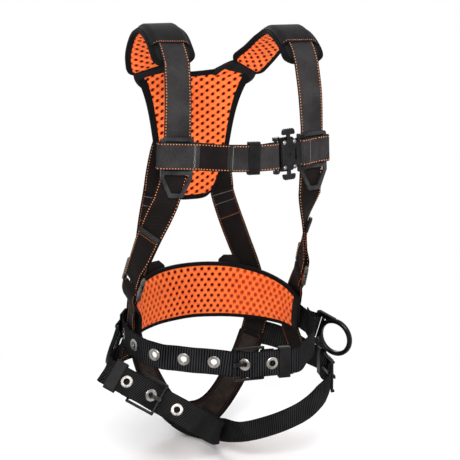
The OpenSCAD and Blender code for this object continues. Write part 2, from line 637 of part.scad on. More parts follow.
// From the leg buckles round the hips to the ends of the back straps.
leg_hip_right = [
    [-204, -4, -43, -0.95, 0.25, 0.05],
    [-186, 28, -45, -0.84, 0.54, 0],
    [-162, 62, -46, -0.78, 0.62, 0],
    [-144.5, 97.5, -46, -0.7, 0.71, 0],
    [-118, 116.8, -46, -0.6, 0.78, -0.13]];
leg_hip_left = [
    [193, 24, -72, 0.96, 0.26, 0],
    [180, 54, -64, 0.84, 0.54, 0],
    [160, 82, -54, 0.74, 0.66, 0],
    [138, 103.6, -48, 0.66, 0.74, -0.05],
    [118, 117, -46, 0.6, 0.78, -0.12]];

function leg_holes(F, lead) = concat([buckle_hole(F), slid(F, tip_s, tip_q)],
    lead > 0 ? [slid(F, -50, under_q)] : []);

module leg_strap(F, line, lead) {
    rows = concat(line, [concat(slid(F, lead > 0 ? -50 : -17, under_q)[0], F[2])]);
    K = concat([for (i = [0 : len(line) - 1]) knot(rows, i, 0)], lead > 0 ? [[slid(F, -50, under_q), lead]] : [],
        [[buckle_entry(F), 0]]);
    color("dimgray") difference() {
        web(concat(through(K, span_steps), buckle_run(F)));
        for (G = leg_holes(F, lead)) place(G) cylinder(d = grommet_id + 2.4, h = 9, center = true);
    }
}

module leg_grommets(F, lead) {
    color("silver") for (G = leg_holes(F, lead)) place(G) grommet();
}

module leg_buckle_strap(F, hip) {
    K = concat([buckle_lap(F)], [for (i = [0 : len(hip) - 1]) knot(hip, i, 0)]);
    color("dimgray") difference() {
        web(concat(buckle_loop(F, 16), through(K, span_steps)));
        tongue_gap(F);
    }
}

// Chest strap: one loop round each ring and shoulder strap, a quick-connect buckle between them.
tongue_bar = 26;
quick_half = 27;
quick_out = chest_front + loop_r;
quick = frame(chest_left[0] + chest_left[1] * (tongue_bar + quick_half) + chest_left[2] * quick_out,
    -chest_left[1], chest_left[2]);
chest_run = [
    on(chest_right, 40, chest_front),
    [-54, -141.5, 333.6, -0.16, -0.98, 0],
    [-25, -145.6, 332, -0.08, -1, 0],
    [3, -147.6, 331, 0.04, -1, 0],
    on(quick, -quick_half - 24, -loop_r + 1.4)];

module chest_strap_right() {
    F = chest_right;
    run = smooth(chest_run, span_steps);
    start = turned([on(F, 60, chest_front - ply - 0.3), on(F, 46, chest_front - ply - 0.6),
        on(F, ring_half + 6, -ply + 1.2)]);
    loop = concat(turned([on(F, ring_half - 2, -ply), on(F, -ring_half + 4, -ply)]),
        arc([F[0], -F[1], F[2]], ring_half + 0.5, chest_mid, chest_loop_r, 180, 0, 1, 10),
        [on(F, -ring_half + 4, chest_front)]);
    tail = turned(reverse(lift(cut_path(run, 8, 15), ply)));
    color("dimgray") web(concat(start, loop, run, [on(quick, -quick_half - 10, -loop_r)],
        arc(quick, -quick_half, 0, loop_r, 180, 0, -1, 8), turned([on(quick, -quick_half - 10, loop_r)]), tail));
}

module chest_strap_left() {
    F = chest_left;
    start = turned([on(F, ring_half + 4, -ply), on(F, ring_half - 2, -ply), on(F, -ring_half + 4, -ply)]);
    G = [F[0], -F[1], F[2]];
    back = turned([on(F, tongue_bar - 10, quick_out + loop_r - 0.6), on(F, tongue_bar - 20, chest_front + ply + 0.3),
        on(F, tongue_bar - 32, chest_front + ply)]);
    color("dimgray") web(concat(start, arc(G, ring_half + 0.5, chest_mid, chest_loop_r, 180, 0, 1, 10),
        [on(F, -ring_half + 4, chest_front), on(F, tongue_bar - 6, chest_front)],
        arc(F, tongue_bar, quick_out, loop_r, 180, 0, -1, 8), back));
}

// Quick-connect buckle: two plates riveted together, a notched tongue that slides in between them and two
// sprung release tabs that act on the lock beside the tongue. Local x points from the plates to the tongue.
rivet_d = 5;
plate_t = 2.8;
tongue_plate_t = 4.4;
plate_gap = 0.7;
plate_half = slot_w / 2 + 6;
plate_foot = loop_r + web_t / 2 + 2.6 - quick_half;
frame_edge = quick_half - loop_r - web_t / 2 - 1.1;
frame_bar = 4.5;
plate_nose = 15;
nose_half = 15.5;
hook_clear = 0.6;
tab_travel = 3;
tab_t2 = tongue_plate_t - 0.2;
rivets = [[plate_foot + 6, plate_half - 9.5], [7, plate_half - 9.5], [plate_foot + 6, 9.5 - plate_half], [7, 9.5 - plate_half]];
base_z = -tongue_plate_t / 2 - plate_gap - plate_t;
cover_z = tongue_plate_t / 2 + plate_gap;

// Outline of a plate: chamfered at the mouth, with waisted sides between the strap's ears and the mouth.
module plate_outline(foot, half) {
    polygon([[foot, 5 - half], [foot + 3, 2 - half], [-6, -half + 1.5], [8, 2.5 - half], [plate_nose, 9 - half],
        [plate_nose, half - 9], [8, half - 2.5], [-6, half - 1.5], [foot + 3, half - 2], [foot, half - 5]]);
}

module rivet_holes() {
    for (r = rivets) translate(r) circle(d = rivet_d + 0.2);
}

// An ear that carries a strap's bar: round about the bar, with a straight leg to the plate.
module bar_ear(x, foot, low, high, r) {
    rotate([90, 0, 0]) linear_extrude(6, center = true) union() {
        translate([x, 0]) circle(r = r);
        polygon([[x, low], [foot, low], [foot, high], [x, r]]);
        translate([x - r + 1.5, low]) square([r - 1.5, -low]);
    }
}

module chest_buckle_base() {
    w = slot_w / 2;
    color("dimgray") place(quick) {
        translate([0, 0, base_z]) linear_extrude(plate_t) difference() {
            plate_outline(plate_foot, plate_half);
            rivet_holes();
            rounded(7, 18, 2);
        }
        translate([-quick_half, 0, 0]) rotate([90, 0, 0]) cylinder(d = bar_d, h = 2 * w + 2, center = true);
        for (y = [-1, 1]) translate([0, y * (w + 3), 0])
            bar_ear(-quick_half, plate_foot + 1.5, base_z + 0.1, base_z + plate_t - 0.1, bar_d / 2 + 2);
    }
}

module chest_buckle_cover() {
    color("dimgray") place(quick) {
        translate([0, 0, cover_z]) linear_extrude(plate_t) difference() {
            plate_outline(plate_foot, plate_half - 4);
            rivet_holes();
            circle(d = 5);
            translate([9, 0]) rounded(3, 20, 1.4);
        }
        translate([plate_foot + 1.5, 0, cover_z + plate_t]) rotate([90, 0, 0]) cylinder(d = 2.4, h = 2 * plate_half - 22, center = true);
    }
}

module chest_buckle_rivets() {
    top = cover_z + plate_t;
    color("silver") place(quick) for (r = rivets) translate([r[0], r[1], 0]) {
        translate([0, 0, base_z - 0.6]) cylinder(d = rivet_d, h = top - base_z + 0.8);
        translate([0, 0, top + 0.2]) cylinder(d1 = rivet_d + 1.8, d2 = rivet_d - 1, h = 1.2);
    }
}

// Tongue: a nose with a rounded tip and a notch on each side, a shoulder and a frame for the other strap.
module chest_buckle_tongue() {
    w = slot_w / 2;
    x = frame_edge - frame_bar;
    color("dimgray") place(quick) {
        translate([0, 0, -tongue_plate_t / 2]) linear_extrude(tongue_plate_t) difference() {
            polygon([[-12, 5 - nose_half], [-7, -nose_half], [x, -nose_half], [x, -w - 6], [x + 1.5, -w - 7.5],
                [frame_edge, -w - 7.5], [frame_edge, w + 7.5], [x + 1.5, w + 7.5], [x, w + 6], [x, nose_half],
                [-7, nose_half], [-12, nose_half - 5]]);
            for (y = [-1, 1]) translate([-2, y * nose_half]) square([8, 9], center = true);
            rounded(8, 12, 2.5);
        }
        translate([quick_half, 0, 0]) rotate([90, 0, 0]) cylinder(d = bar_d, h = 2 * w + 2, center = true);
        for (y = [-1, 1]) translate([0, y * (w + 3), 0]) mirror([1, 0, 0])
            bar_ear(-quick_half, 1 - frame_edge, 0.1 - tongue_plate_t / 2, tongue_plate_t / 2 - 0.1, bar_d / 2 + 2);
    }
}

// Release tab: a stem that reaches in between the plates and a ribbed thumb plate outside the buckle.
module release_tab(s) {
    tip = nose_half + hook_clear + tab_travel;
    thumb = plate_half - 1.5 + tab_travel + 1;
    color("dimgray") place(quick) mirror([0, s > 0 ? 0 : 1, 0]) translate([0, 0, -tab_t2 / 2]) linear_extrude(tab_t2) difference() {
        polygon([[-5, tip], [1, tip], [1, thumb], [9, thumb], [10.5, thumb + 2], [9, thumb + 8], [6, thumb + 10],
            [-10, thumb + 10], [-13, thumb + 8], [-14.5, thumb + 2], [-13, thumb], [-5, thumb]]);
        for (x = [-8 : 4 : 4]) translate([x, thumb + 10]) circle(r = 1.1);
    }
}

chest_keep = frame([4, -149.05, 331], [1, -0.02, -0.02], [-0.02, -1, 0]);

// Ring plate between the shoulder blades, over the place where the straps cross.
dorsal = frame([0, 150.3, 392], [0, 0, -1], [0, 1, 0]);
dorsal_up = 1.5 + ring_t / 2 + 0.6;
dorsal_bar = frame(dorsal[0] + dorsal[2] * dorsal_up, dorsal[1], dorsal[2]);
dorsal_turn = 84;

module dorsal_plate() {
    lug = ring_t / 2 + 0.5;
    color("dimgray") place(dorsal) {
        translate([0, 0, -1.5]) linear_extrude(3) polygon([[-46, -20], [-46, 20], [-26, 40], [30, 40], [50, 22],
            [50, -22], [30, -40], [-26, -40]]);
        for (y = [-16, 0, 16]) translate([0, y, dorsal_up]) rotate([90, 0, 0]) difference() {
            union() {
                cylinder(r = lug + 2.6, h = 8, center = true);
                translate([-lug - 2.6, -dorsal_up, -4]) cube([2 * lug + 5.2, dorsal_up, 8]);
            }
            cylinder(r = lug, h = 12, center = true);
        }
    }
}

back_pad();
shoulder_pad(over_right);  // shoulder_pad_right
shoulder_pad(over_left);  // shoulder_pad_left
shoulder_cover(over_right);  // shoulder_cover_right
shoulder_cover(over_left);  // shoulder_cover_left
shoulder_strap(adjust_right, front_right, ring_run_right, neck_right, over_right, back_cross_right);  // shoulder_strap_right
shoulder_strap(adjust_left, front_left, ring_run_left, neck_left, over_left, back_cross_left);  // shoulder_strap_left
chest_ring(chest_right);  // chest_ring_right
chest_ring(chest_left);  // chest_ring_left
torso_adjuster(adjust_right);  // torso_adjuster_right
torso_adjuster(adjust_left);  // torso_adjuster_left
torso_adjuster_bar(adjust_right);  // torso_adjuster_bar_right
torso_adjuster_bar(adjust_left);  // torso_adjuster_bar_left
hip_strap(adjust_right, hip_line_right);  // hip_strap_right
hip_strap(adjust_left, hip_line_left);  // hip_strap_left
back_strap(-1);  // back_strap_right
back_strap(1);  // back_strap_left
waist_pad();
belt_loop(-1);  // belt_loop_right
belt_loop(1);  // belt_loop_left
belt_right();
belt_left();
belt_grommets();
buckle_frame(belt_buckle);  // belt_buckle_frame
buckle_tongue(belt_buckle);  // belt_buckle_tongue
keeper(belt_buckle, keep_s, (lap_q + tip_q) / 2, tip_q - lap_q, "black");  // belt_keeper
side_ring_loop(side_right, bar_right, 76, [[22, ply - 0.2], [15, ply], [9.5, ply + 1]]);  // side_ring_loop_right
side_ring_loop(side_left, bar_left, 62, [[30, ply + 0.6], [22, ply + 0.4], [15, ply + 1]]);  // side_ring_loop_left
ring_at(bar_right, turn_right, side_eye_d);  // side_dring_right
ring_at(bar_left, turn_left, side_eye_d);  // side_dring_left
seat_sling();
leg_strap(leg_buckle_right, leg_line_right, flat_half);  // leg_strap_right
leg_strap(leg_buckle_left, leg_line_left, 0);  // leg_strap_left
leg_grommets(leg_buckle_right, flat_half);  // leg_grommets_right
leg_grommets(leg_buckle_left, 0);  // leg_grommets_left
leg_buckle_strap(leg_buckle_right, leg_hip_right);  // leg_buckle_strap_right
leg_buckle_strap(leg_buckle_left, leg_hip_left);  // leg_buckle_strap_left
buckle_frame(leg_buckle_right);  // leg_buckle_frame_right
buckle_frame(leg_buckle_left);  // leg_buckle_frame_left
buckle_tongue(leg_buckle_right);  // leg_buckle_tongue_right
buckle_tongue(leg_buckle_left);  // leg_buckle_tongue_left
keeper(leg_buckle_right, keep_s, (lap_q + tip_q) / 2, tip_q - lap_q, "black");  // leg_keeper_right
keeper(leg_buckle_left, keep_s, (lap_q + tip_q) / 2, tip_q - lap_q, "black");  // leg_keeper_left
chest_strap_right();
chest_strap_left();
keeper(chest_keep, 0, 0, ply + 0.4, "black");  // chest_keeper
chest_buckle_base();
chest_buckle_cover();
chest_buckle_rivets();
chest_buckle_tongue();
release_tab(1);  // release_tab_top
release_tab(-1);  // release_tab_bottom
dorsal_plate();
ring_at(dorsal_bar, dorsal_turn, dorsal_eye_d);  // dorsal_dring
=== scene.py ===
"""Looks of a full-body work harness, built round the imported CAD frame.

Lengths are worked out in millimetres, as in the part's source, and become metres when a mesh is made.
"""

import math
from types import SimpleNamespace

import bpy
import numpy as np
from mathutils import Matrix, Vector


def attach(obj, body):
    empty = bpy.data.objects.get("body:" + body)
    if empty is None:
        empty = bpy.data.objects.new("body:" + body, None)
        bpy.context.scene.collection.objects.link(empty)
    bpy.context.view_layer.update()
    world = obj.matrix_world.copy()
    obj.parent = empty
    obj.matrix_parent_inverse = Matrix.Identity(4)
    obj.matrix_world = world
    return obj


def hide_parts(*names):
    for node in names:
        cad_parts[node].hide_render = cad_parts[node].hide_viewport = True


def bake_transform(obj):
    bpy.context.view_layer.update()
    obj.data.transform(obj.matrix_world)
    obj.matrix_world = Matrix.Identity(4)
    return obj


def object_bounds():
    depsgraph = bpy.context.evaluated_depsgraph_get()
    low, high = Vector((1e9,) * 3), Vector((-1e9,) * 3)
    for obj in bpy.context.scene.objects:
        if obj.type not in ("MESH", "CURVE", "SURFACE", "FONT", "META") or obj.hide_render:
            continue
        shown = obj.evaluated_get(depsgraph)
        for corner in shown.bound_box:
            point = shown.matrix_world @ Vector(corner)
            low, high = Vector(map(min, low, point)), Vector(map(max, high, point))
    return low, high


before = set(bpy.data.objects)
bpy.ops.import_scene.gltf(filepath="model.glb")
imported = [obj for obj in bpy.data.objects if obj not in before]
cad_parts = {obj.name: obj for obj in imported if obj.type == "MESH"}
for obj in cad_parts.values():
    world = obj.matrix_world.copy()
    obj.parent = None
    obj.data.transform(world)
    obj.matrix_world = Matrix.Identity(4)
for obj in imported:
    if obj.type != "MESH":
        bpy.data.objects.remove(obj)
cad_low, cad_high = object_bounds()
MM = 0.001
TURN = 2 * math.pi
SIDES = ("right", "left")


# ---- materials

def srgb(code, alpha=1.0):
    """An sRGB hex colour as linear RGBA."""
    parts = [int(code[i:i + 2], 16) / 255 for i in (1, 3, 5)]
    return [c / 12.92 if c <= 0.04045 else ((c + 0.055) / 1.055) ** 2.4 for c in parts] + [alpha]


def feed(node, feeds):
    """Fills a node's inputs, by name or number, from values, outputs or nodes' first live outputs."""
    for name, value in feeds.items():
        if isinstance(value, bpy.types.Node):
            value = next(out for out in value.outputs if out.enabled)
        if isinstance(value, bpy.types.NodeSocket):
            node.id_data.links.new(value, node.inputs[name])
        else:
            node.inputs[name].default_value = value


def add(tree, kind, feeds=None, **settings):
    """A shader node with its settings and inputs; its kind may be followed by its operation."""
    kind, *operation = kind.split()
    made = tree.nodes.new("ShaderNode" + kind)
    for name, value in [("operation", op) for op in operation] + list(settings.items()):
        setattr(made, name, value)
    feed(made, feeds or {})
    return made


def start(name, **shader):
    """A new material with its tree and shader; each setting goes straight to the shader's socket."""
    mat = bpy.data.materials.new(name)
    mat.use_nodes = True
    tree = mat.node_tree
    bsdf = tree.nodes["Principled BSDF"]
    for key, value in shader.items():
        bsdf.inputs[key.replace("_", " ")].default_value = value
    return mat, tree, bsdf


def start_cloth(name, **shader):
    """A new cloth, with the place on its weave and how far that lies across and along the piece."""
    mat, tree, bsdf = start(name, IOR=1.5, **shader)
    uv = add(tree, "UVMap", uv_map="web")
    part = add(tree, "SeparateXYZ", {0: uv})
    return mat, tree, bsdf, uv, part.outputs[0], part.outputs[1]


# sizes of the patterns, in millimetres: tufts of yarn and rubbed patches on webbing, where its selvedge
# starts and ends, stitches and soiled patches of the knit, lint on cloth, and patches of wear on metal
YARN, RUB, SELVEDGE, KNIT, SOIL, LINT, WEAR = 2.5, 45, (20.4, 21.6), 3, 70, 20, 18
# holes of the spacer mesh, in millimetres: pitch in a row, the rows' distance, half width and half height
HOLE_PITCH, HOLE_ROW, HOLE_W, HOLE_H = 20, 6.6, 2.7, 3.1
# lean of the holes on the pads and on the waist pad
HOLE_LEAN, WAIST_LEAN = 0.35, 0.12


def polyester_webbing(name, dark, light, rib, lean, contrast, relief, gloss=0.05):
    """Woven polyester: close ribs across the band, painted pale and dark for the highlight and shade on them,
    and paler where the yarn has rubbed.
    """
    mat, tree, bsdf, uv, across, along = start_cloth(name, Roughness=0.75, Specular_IOR_Level=gloss)
    # ribs are 1.5 to 2 mm apart on the real webbing and drawn at rib millimetres, so that they show
    slant = add(tree, "Math MULTIPLY_ADD", {0: across, 1: lean, 2: along})
    wave = add(tree, "Math MULTIPLY", {0: slant, 1: TURN / (rib * MM)})
    ribs = add(tree, "Math SINE", {0: wave})
    yarn = add(tree, "TexNoise", {"Vector": uv, "Scale": 1 / (YARN * MM), "Detail": 4.0})
    worn = add(tree, "TexNoise", {"Vector": uv, "Scale": 1 / (RUB * MM), "Detail": 3.0})
    both = add(tree, "Math MULTIPLY_ADD", {0: yarn, 1: 0.6, 2: worn})
    # the ribs' pale and dark stripes are painted highlight and shade, mixed with the yarn's tufts and rubbed
    # patches
    tone = add(tree, "Math MULTIPLY_ADD", {0: ribs, 1: contrast, 2: both})
    ramp = add(tree, "MapRange", {0: tone, 1: 0.75 - contrast, 2: 0.9 + contrast})
    paint = add(tree, "Mix", {0: ramp, 6: srgb(dark), 7: srgb(light)}, data_type="RGBA")
    # the band is darker at its selvedge
    rim = add(tree, "Math ABSOLUTE", {0: across})
    edge = add(tree, "MapRange", {0: rim, 1: SELVEDGE[0] * MM, 2: SELVEDGE[1] * MM, 3: 1.0, 4: 0.55})
    shade = add(tree, "Mix", {0: 1.0, 6: paint, 7: edge}, data_type="RGBA", blend_type="MULTIPLY")
    lift = add(tree, "Math MULTIPLY_ADD", {0: ribs, 1: 0.5, 2: yarn})
    bump = add(tree, "Bump", {"Height": lift, "Strength": 0.7, "Distance": relief * MM})
    feed(bsdf, {"Base Color": shade, "Normal": bump})
    return mat


def plain_metal(name, dark, light, rough, metallic, grit, relief):
    """Steel with a coat, or moulded nylon: an even surface, a fine grain and lighter wear."""
    mat, tree, bsdf = start(name, Metallic=metallic, Specular_IOR_Level=0.5 if metallic else 0.14)
    place = add(tree, "TexCoord").outputs["Object"]
    # the real grain is finer than half a millimetre and drawn at grit millimetres, so that it shows
    grain = add(tree, "TexNoise", {"Vector": place, "Scale": 1 / (grit * MM), "Detail": 5.0})
    wear = add(tree, "TexNoise", {"Vector": place, "Scale": 1 / (WEAR * MM), "Detail": 3.0})
    ramp = add(tree, "MapRange", {0: wear, 1: 0.35, 2: 0.7})
    paint = add(tree, "Mix", {0: ramp, 6: srgb(dark), 7: srgb(light)}, data_type="RGBA")
    dull = add(tree, "MapRange", {0: grain, 1: 0.3, 2: 0.7, 3: rough - 0.06, 4: rough + 0.08})
    bump = add(tree, "Bump", {"Height": grain, "Strength": 0.3, "Distance": relief * MM})
    feed(bsdf, {"Base Color": paint, "Roughness": dull, "Normal": bump})
    return mat


def spacer_mesh(name, yarn, shade, deep, foam, slope, reach):
    """Knitted spacer mesh: a bright knit with staggered holes, painted dark with the shade that falls in them
    on the foam behind.
    """
    mat, tree, bsdf, uv, across, along = start_cloth(
        name, Roughness=0.8, Specular_IOR_Level=0.12, Sheen_Weight=0.08, Sheen_Roughness=0.4)
    row, pitch = HOLE_ROW * MM, HOLE_PITCH * MM
    # the place from the middle of its hole; every other row is pushed on by half a pitch
    line = add(tree, "Math DIVIDE", {0: along, 1: row})
    count = add(tree, "Math FLOOR", {0: line})
    odd = add(tree, "Math FLOORED_MODULO", {0: count, 1: 2.0})
    push = add(tree, "Math MULTIPLY_ADD", {0: odd, 1: pitch / 2, 2: across})
    x = add(tree, "Math FLOORED_MODULO", {0: push, 1: pitch})
    y = add(tree, "Math FLOORED_MODULO", {0: along, 1: row})
    dx = add(tree, "Math SUBTRACT", {0: x, 1: pitch / 2})
    dy = add(tree, "Math SUBTRACT", {0: y, 1: row / 2})
    lean = add(tree, "Math MULTIPLY_ADD", {0: dy, 1: -slope, 2: dx})
    wide = add(tree, "Math DIVIDE", {0: lean, 1: HOLE_W * MM})
    high = add(tree, "Math DIVIDE", {0: dy, 1: HOLE_H * MM})
    spot = add(tree, "CombineXYZ", {0: wide, 1: high})
    away = add(tree, "VectorMath LENGTH", {0: spot})
    solid = add(tree, "MapRange", {0: away, 1: 0.72, 2: 1.12})
    # painted shade on the knit round each hole's rim, with random tone from the knit and soiled patches
    near = add(tree, "MapRange", {0: away, 1: 1.0, 2: 2.2})
    knit = add(tree, "TexNoise", {"Vector": uv, "Scale": 1 / (KNIT * MM), "Detail": 3.0})
    soil = add(tree, "TexNoise", {"Vector": uv, "Scale": 1 / (SOIL * MM), "Detail": 2.0})
    mixed = add(tree, "Math MULTIPLY", {0: knit, 1: soil})
    rise = add(tree, "Math MULTIPLY_ADD", {0: mixed, 1: 1.6, 2: near})
    warm = add(tree, "MapRange", {0: rise, 1: 0.45, 2: 1.45})
    tone = add(tree, "Mix", {0: warm, 6: srgb(shade), 7: srgb(yarn)}, data_type="RGBA")
    # the holes hold painted shade, lighter and redder beyond reach from the pad's middle, where the foam lies
    # closer behind
    from_mid = add(tree, "Math ABSOLUTE", {0: along})
    close = add(tree, "Math MULTIPLY_ADD", {0: soil, 1: 50 * MM, 2: from_mid})
    lit = add(tree, "MapRange", {0: close, 1: reach * MM, 2: (reach + 45) * MM})
    hole = add(tree, "Mix", {0: lit, 6: srgb(deep), 7: srgb(foam)}, data_type="RGBA")
    paint = add(tree, "Mix", {0: solid, 6: hole, 7: tone}, data_type="RGBA")
    lift = add(tree, "Math MULTIPLY_ADD", {0: knit, 1: 0.4, 2: solid})
    bump = add(tree, "Bump", {"Height": lift, "Strength": 0.6, "Distance": 0.8 * MM})
    feed(bsdf, {"Base Color": paint, "Normal": bump})
    return mat


def woven_cloth(name, dark, light, thread):
    """Plain-woven nylon: a fine square weave, matt, with a soft sheen at grazing light."""
    mat, tree, bsdf, uv, across, along = start_cloth(
        name, Roughness=0.8, Specular_IOR_Level=0.06, Sheen_Weight=0.01, Sheen_Roughness=0.4)
    # the real cloth's threads are half a millimetre apart, and drawn at thread millimetres, so that they show
    waves = []
    for run in (across, along):
        grow = add(tree, "Math MULTIPLY", {0: run, 1: TURN / (thread * MM)})
        waves.append(add(tree, "Math SINE", {0: grow}))
    weave = add(tree, "Math MULTIPLY", {0: waves[0], 1: waves[1]})
    lint = add(tree, "TexNoise", {"Vector": uv, "Scale": 1 / (LINT * MM), "Detail": 5.0})
    tone = add(tree, "Math MULTIPLY_ADD", {0: weave, 1: 0.15, 2: lint})
    ramp = add(tree, "MapRange", {0: tone, 1: 0.1, 2: 0.9})
    paint = add(tree, "Mix", {0: ramp, 6: srgb(dark), 7: srgb(light)}, data_type="RGBA")
    bump = add(tree, "Bump", {"Height": tone, "Strength": 0.5, "Distance": 0.5 * MM})
    feed(bsdf, {"Base Color": paint, "Normal": bump})
    return mat


def paired(name):
    """A node's names on both sides."""
    return [name + "_" + side for side in SIDES]


# dyed polyester: grey and fine over the shoulders, charcoal below and behind, partly as painted shade, black
# with bold dull ribs at belt and legs
WEB_GREY = polyester_webbing("polyester_webbing_grey", "#211f1f", "#403e3e", 2.6, 0.6, 0.22, 0.3)
WEB_DARK = polyester_webbing("polyester_webbing_charcoal_and_shade", "#0d0a0a", "#251f1e", 2.6, 0.6, 0.3, 0.3)
WEB_BLACK = polyester_webbing("polyester_webbing_black", "#000000", "#313133", 4.4, 0.0, 0.6, 0.8, 0.01)
WEB_FINE = polyester_webbing("polyester_webbing_black_fine", "#000000", "#2f2e2e", 3.7, 0.4, 0.7, 0.6, 0.01)
# knitted polyester: vivid, with painted shade in and round its holes; the waist's lean less, their shade
# reddening towards its ends
MESH = spacer_mesh("polyester_spacer_mesh", "#ff8040", "#ea4c1c", "#1c0602", "#8c2c12", HOLE_LEAN, 2000)
WAIST_MESH = spacer_mesh("polyester_spacer_mesh_waist", "#ff8040", "#e84a1c", "#220803", "#b03a1c",
                         WAIST_LEAN, 70)
# woven nylon and polyester: matt and near black; only the seat's coarse weave shows as a pattern
SEAT = woven_cloth("coarse_nylon_seat_cloth", "#141110", "#3d342f", 3.2)
CLOTH = woven_cloth("nylon_cover_cloth", "#111011", "#242324", 1.6)
TAPE = woven_cloth("polyester_binding_tape", "#090809", "#161516", 1.4)
# twisted polyester thread: bright tan in front; behind and at the hips a darker copy of the tan as painted
# shade, and rust; grey at bar tacks
THREAD = woven_cloth("polyester_thread_tan", "#cd7440", "#f3ab7c", 0.9)
SHADED_THREAD = woven_cloth("polyester_thread_tan_painted_shade", "#8a4826", "#b9744a", 0.9)
RUST = woven_cloth("polyester_thread_rust", "#401c10", "#683822", 0.9)
PALE = woven_cloth("polyester_thread_grey", "#777472", "#a8a4a1", 0.9)
# coated steel has a soft gloss, forged steel is smooth and near black, plate is bright, the coat is paler
# along edges, partly rubbed and partly painted highlight, and moulded nylon is dull
STEEL = plain_metal("coated_steel_black", "#0b0b0c", "#1c1c1e", 0.34, 0.0, 1.2, 0.06)
RING = plain_metal("coated_steel_grey", "#1f1f20", "#38383a", 0.4, 0.0, 1.4, 0.06)
FORGED = plain_metal("forged_steel_black", "#040405", "#0e0e10", 0.28, 0.0, 2.2, 0.12)
ZINC = plain_metal("zinc_plated_steel", "#6a6764", "#b0aca6", 0.28, 1.0, 1.5, 0.05)
SATIN = plain_metal("satin_plated_steel", "#45433f", "#6f6b66", 0.32, 1.0, 0.9, 0.03)
RUBBED_EDGE_HIGHLIGHT = plain_metal("rubbed_steel_edge_painted_highlight", "#33312f", "#63605c", 0.36, 0.0, 0.9, 0.04)
PLASTIC = plain_metal("moulded_nylon_black", "#0a0909", "#191717", 0.45, 0.0, 0.9, 0.06)
FINISH = {
    RING: paired("chest_ring"),
    STEEL: ["chest_buckle_base", "chest_buckle_cover", "chest_buckle_tongue", "release_tab_top",
            "release_tab_bottom", "belt_buckle_frame", "belt_buckle_tongue",
            *paired("leg_buckle_frame"), *paired("leg_buckle_tongue")],
    FORGED: ["dorsal_dring", *paired("side_dring")],
    SATIN: paired("torso_adjuster"),
    ZINC: ["belt_grommets", "chest_buckle_rivets", *paired("leg_grommets"), *paired("torso_adjuster_bar")],
    PLASTIC: ["dorsal_plate", "chest_keeper", "belt_keeper", *paired("leg_keeper")]}
WELD, EDGE = 0.02, 0.5
for finish, names in FINISH.items():
    for node in map(bpy.data.objects.get, names):
        node.data.materials.clear()
        node.data.materials.append(finish)
        node.modifiers.new("weld", "WELD").merge_threshold = WELD * MM
        # the tumbled edges catch the light, and on the pressed pieces they are painted paler, partly rubbed
        # coat and partly painted highlight
        edges = node.modifiers.new("edges", "BEVEL")
        edges.width, edges.segments = EDGE * MM, 2
        edges.angle_limit, edges.harden_normals = math.radians(35), True
        if finish in (STEEL, RING):
            node.data.materials.append(RUBBED_EDGE_HIGHLIGHT)
            edges.material = 1


# ---- lines of the webbing, as in the part's source: rows of place and outward direction

WEB_W, WEB_T, PLY_GAP = 45, 2.4, 0.5
BAR_D, BAR_CLEAR, BUCKLE_LEN = 5, 0.5, 49
GROMMET_ID, GROMMET_OD, KEEPER_LEN = 11, 22, 20
SHOULDER_PAD_W, SHOULDER_PAD_T, COVER_T = 74, 12, 2.4
CHEST_RING_T, RING_T, TONGUE_W = 5, 8, 6
# points to a span of a line, and the most that the stations of webbing lie apart
SPAN, STATION = 5, 4
PLY = WEB_T + PLY_GAP
LOOP_R = BAR_D / 2 + BAR_CLEAR + WEB_T / 2
CHEST_FRONT = WEB_T / 2 + 0.4 + CHEST_RING_T + PLY_GAP + WEB_T / 2
CHEST_MID, CHEST_LOOP_R = (CHEST_FRONT - PLY) / 2, (CHEST_FRONT + PLY) / 2
RING_HALF = WEB_W / 2 + 3.8


def eased(x):
    """A smooth step from 0 to 1."""
    x = np.clip(x, 0, 1)
    return x * x * (3 - 2 * x)


def unit(v):
    """Directions at length 1."""
    v = np.asarray(v, float)
    return v / np.linalg.norm(v, axis=-1, keepdims=True)


def square(n, d):
    """n made square to d."""
    return unit(n - d * np.sum(n * d, -1, keepdims=True))


def spot(o, d, n):
    """A frame: its origin, its direction along the webbing and its outward direction."""
    d = unit(d)
    return np.array([o, d, square(unit(n), d)])


def slid(F, s, q):
    """A frame moved s along the webbing and q outward."""
    return np.array([F[0] + F[1] * s + F[2] * q, F[1], F[2]])


def on(F, *places):
    """A line's rows at (along, outward) places from a frame."""
    return np.array([np.r_[F[0] + F[1] * s + F[2] * q, F[2]] for s, q in places])


def back_from(F, s=0):
    """A frame s along the webbing that runs the other way."""
    return np.array([F[0] + F[1] * s, -F[1], F[2]])


def arc(F, s=0, q=0, r=LOOP_R, a0=0, a1=180, sign=1, k=8):
    """Rows round a bar at (s, q) in k steps from angle a0 to a1, facing out (1) or in (-1)."""
    a = np.radians(np.linspace(a0, a1, k + 1))[:, None]
    v = F[2] * np.cos(a) + F[1] * np.sin(a)
    return np.c_[F[0] + F[1] * s + F[2] * q + v * r, v * sign]


def turned(P):
    """Rows that face the other way."""
    return np.array(P, float) * [1, 1, 1, -1, -1, -1]


def flipped(P):
    """Rows mirrored to the other side of the body."""
    return np.array(P, float) * ([-1, 1, 1, -1, 1, 1] + [1] * (len(P[0]) - 6))


def lifted(P, d):
    """Rows moved outward by d."""
    n = unit(np.array(P)[:, 3:6])
    return np.c_[np.array(P)[:, :3] + n * d, n]


def curve_at(P, t):
    """Points on a curve through the rows, at row numbers t that may lie between rows."""
    P = np.asarray(P, float)
    i = np.clip(np.asarray(t).astype(int), 0, len(P) - 2)
    f = (t - i)[:, None]
    Q = np.vstack([P[:1], P, P[-1:]])
    a, b, c, d = Q[i], Q[i + 1], Q[i + 2], Q[i + 3]
    return 0.5 * (2 * b + (c - a) * f + (2 * a - 5 * b + 4 * c - d) * f ** 2
                  + (3 * b - a - 3 * c + d) * f ** 3)


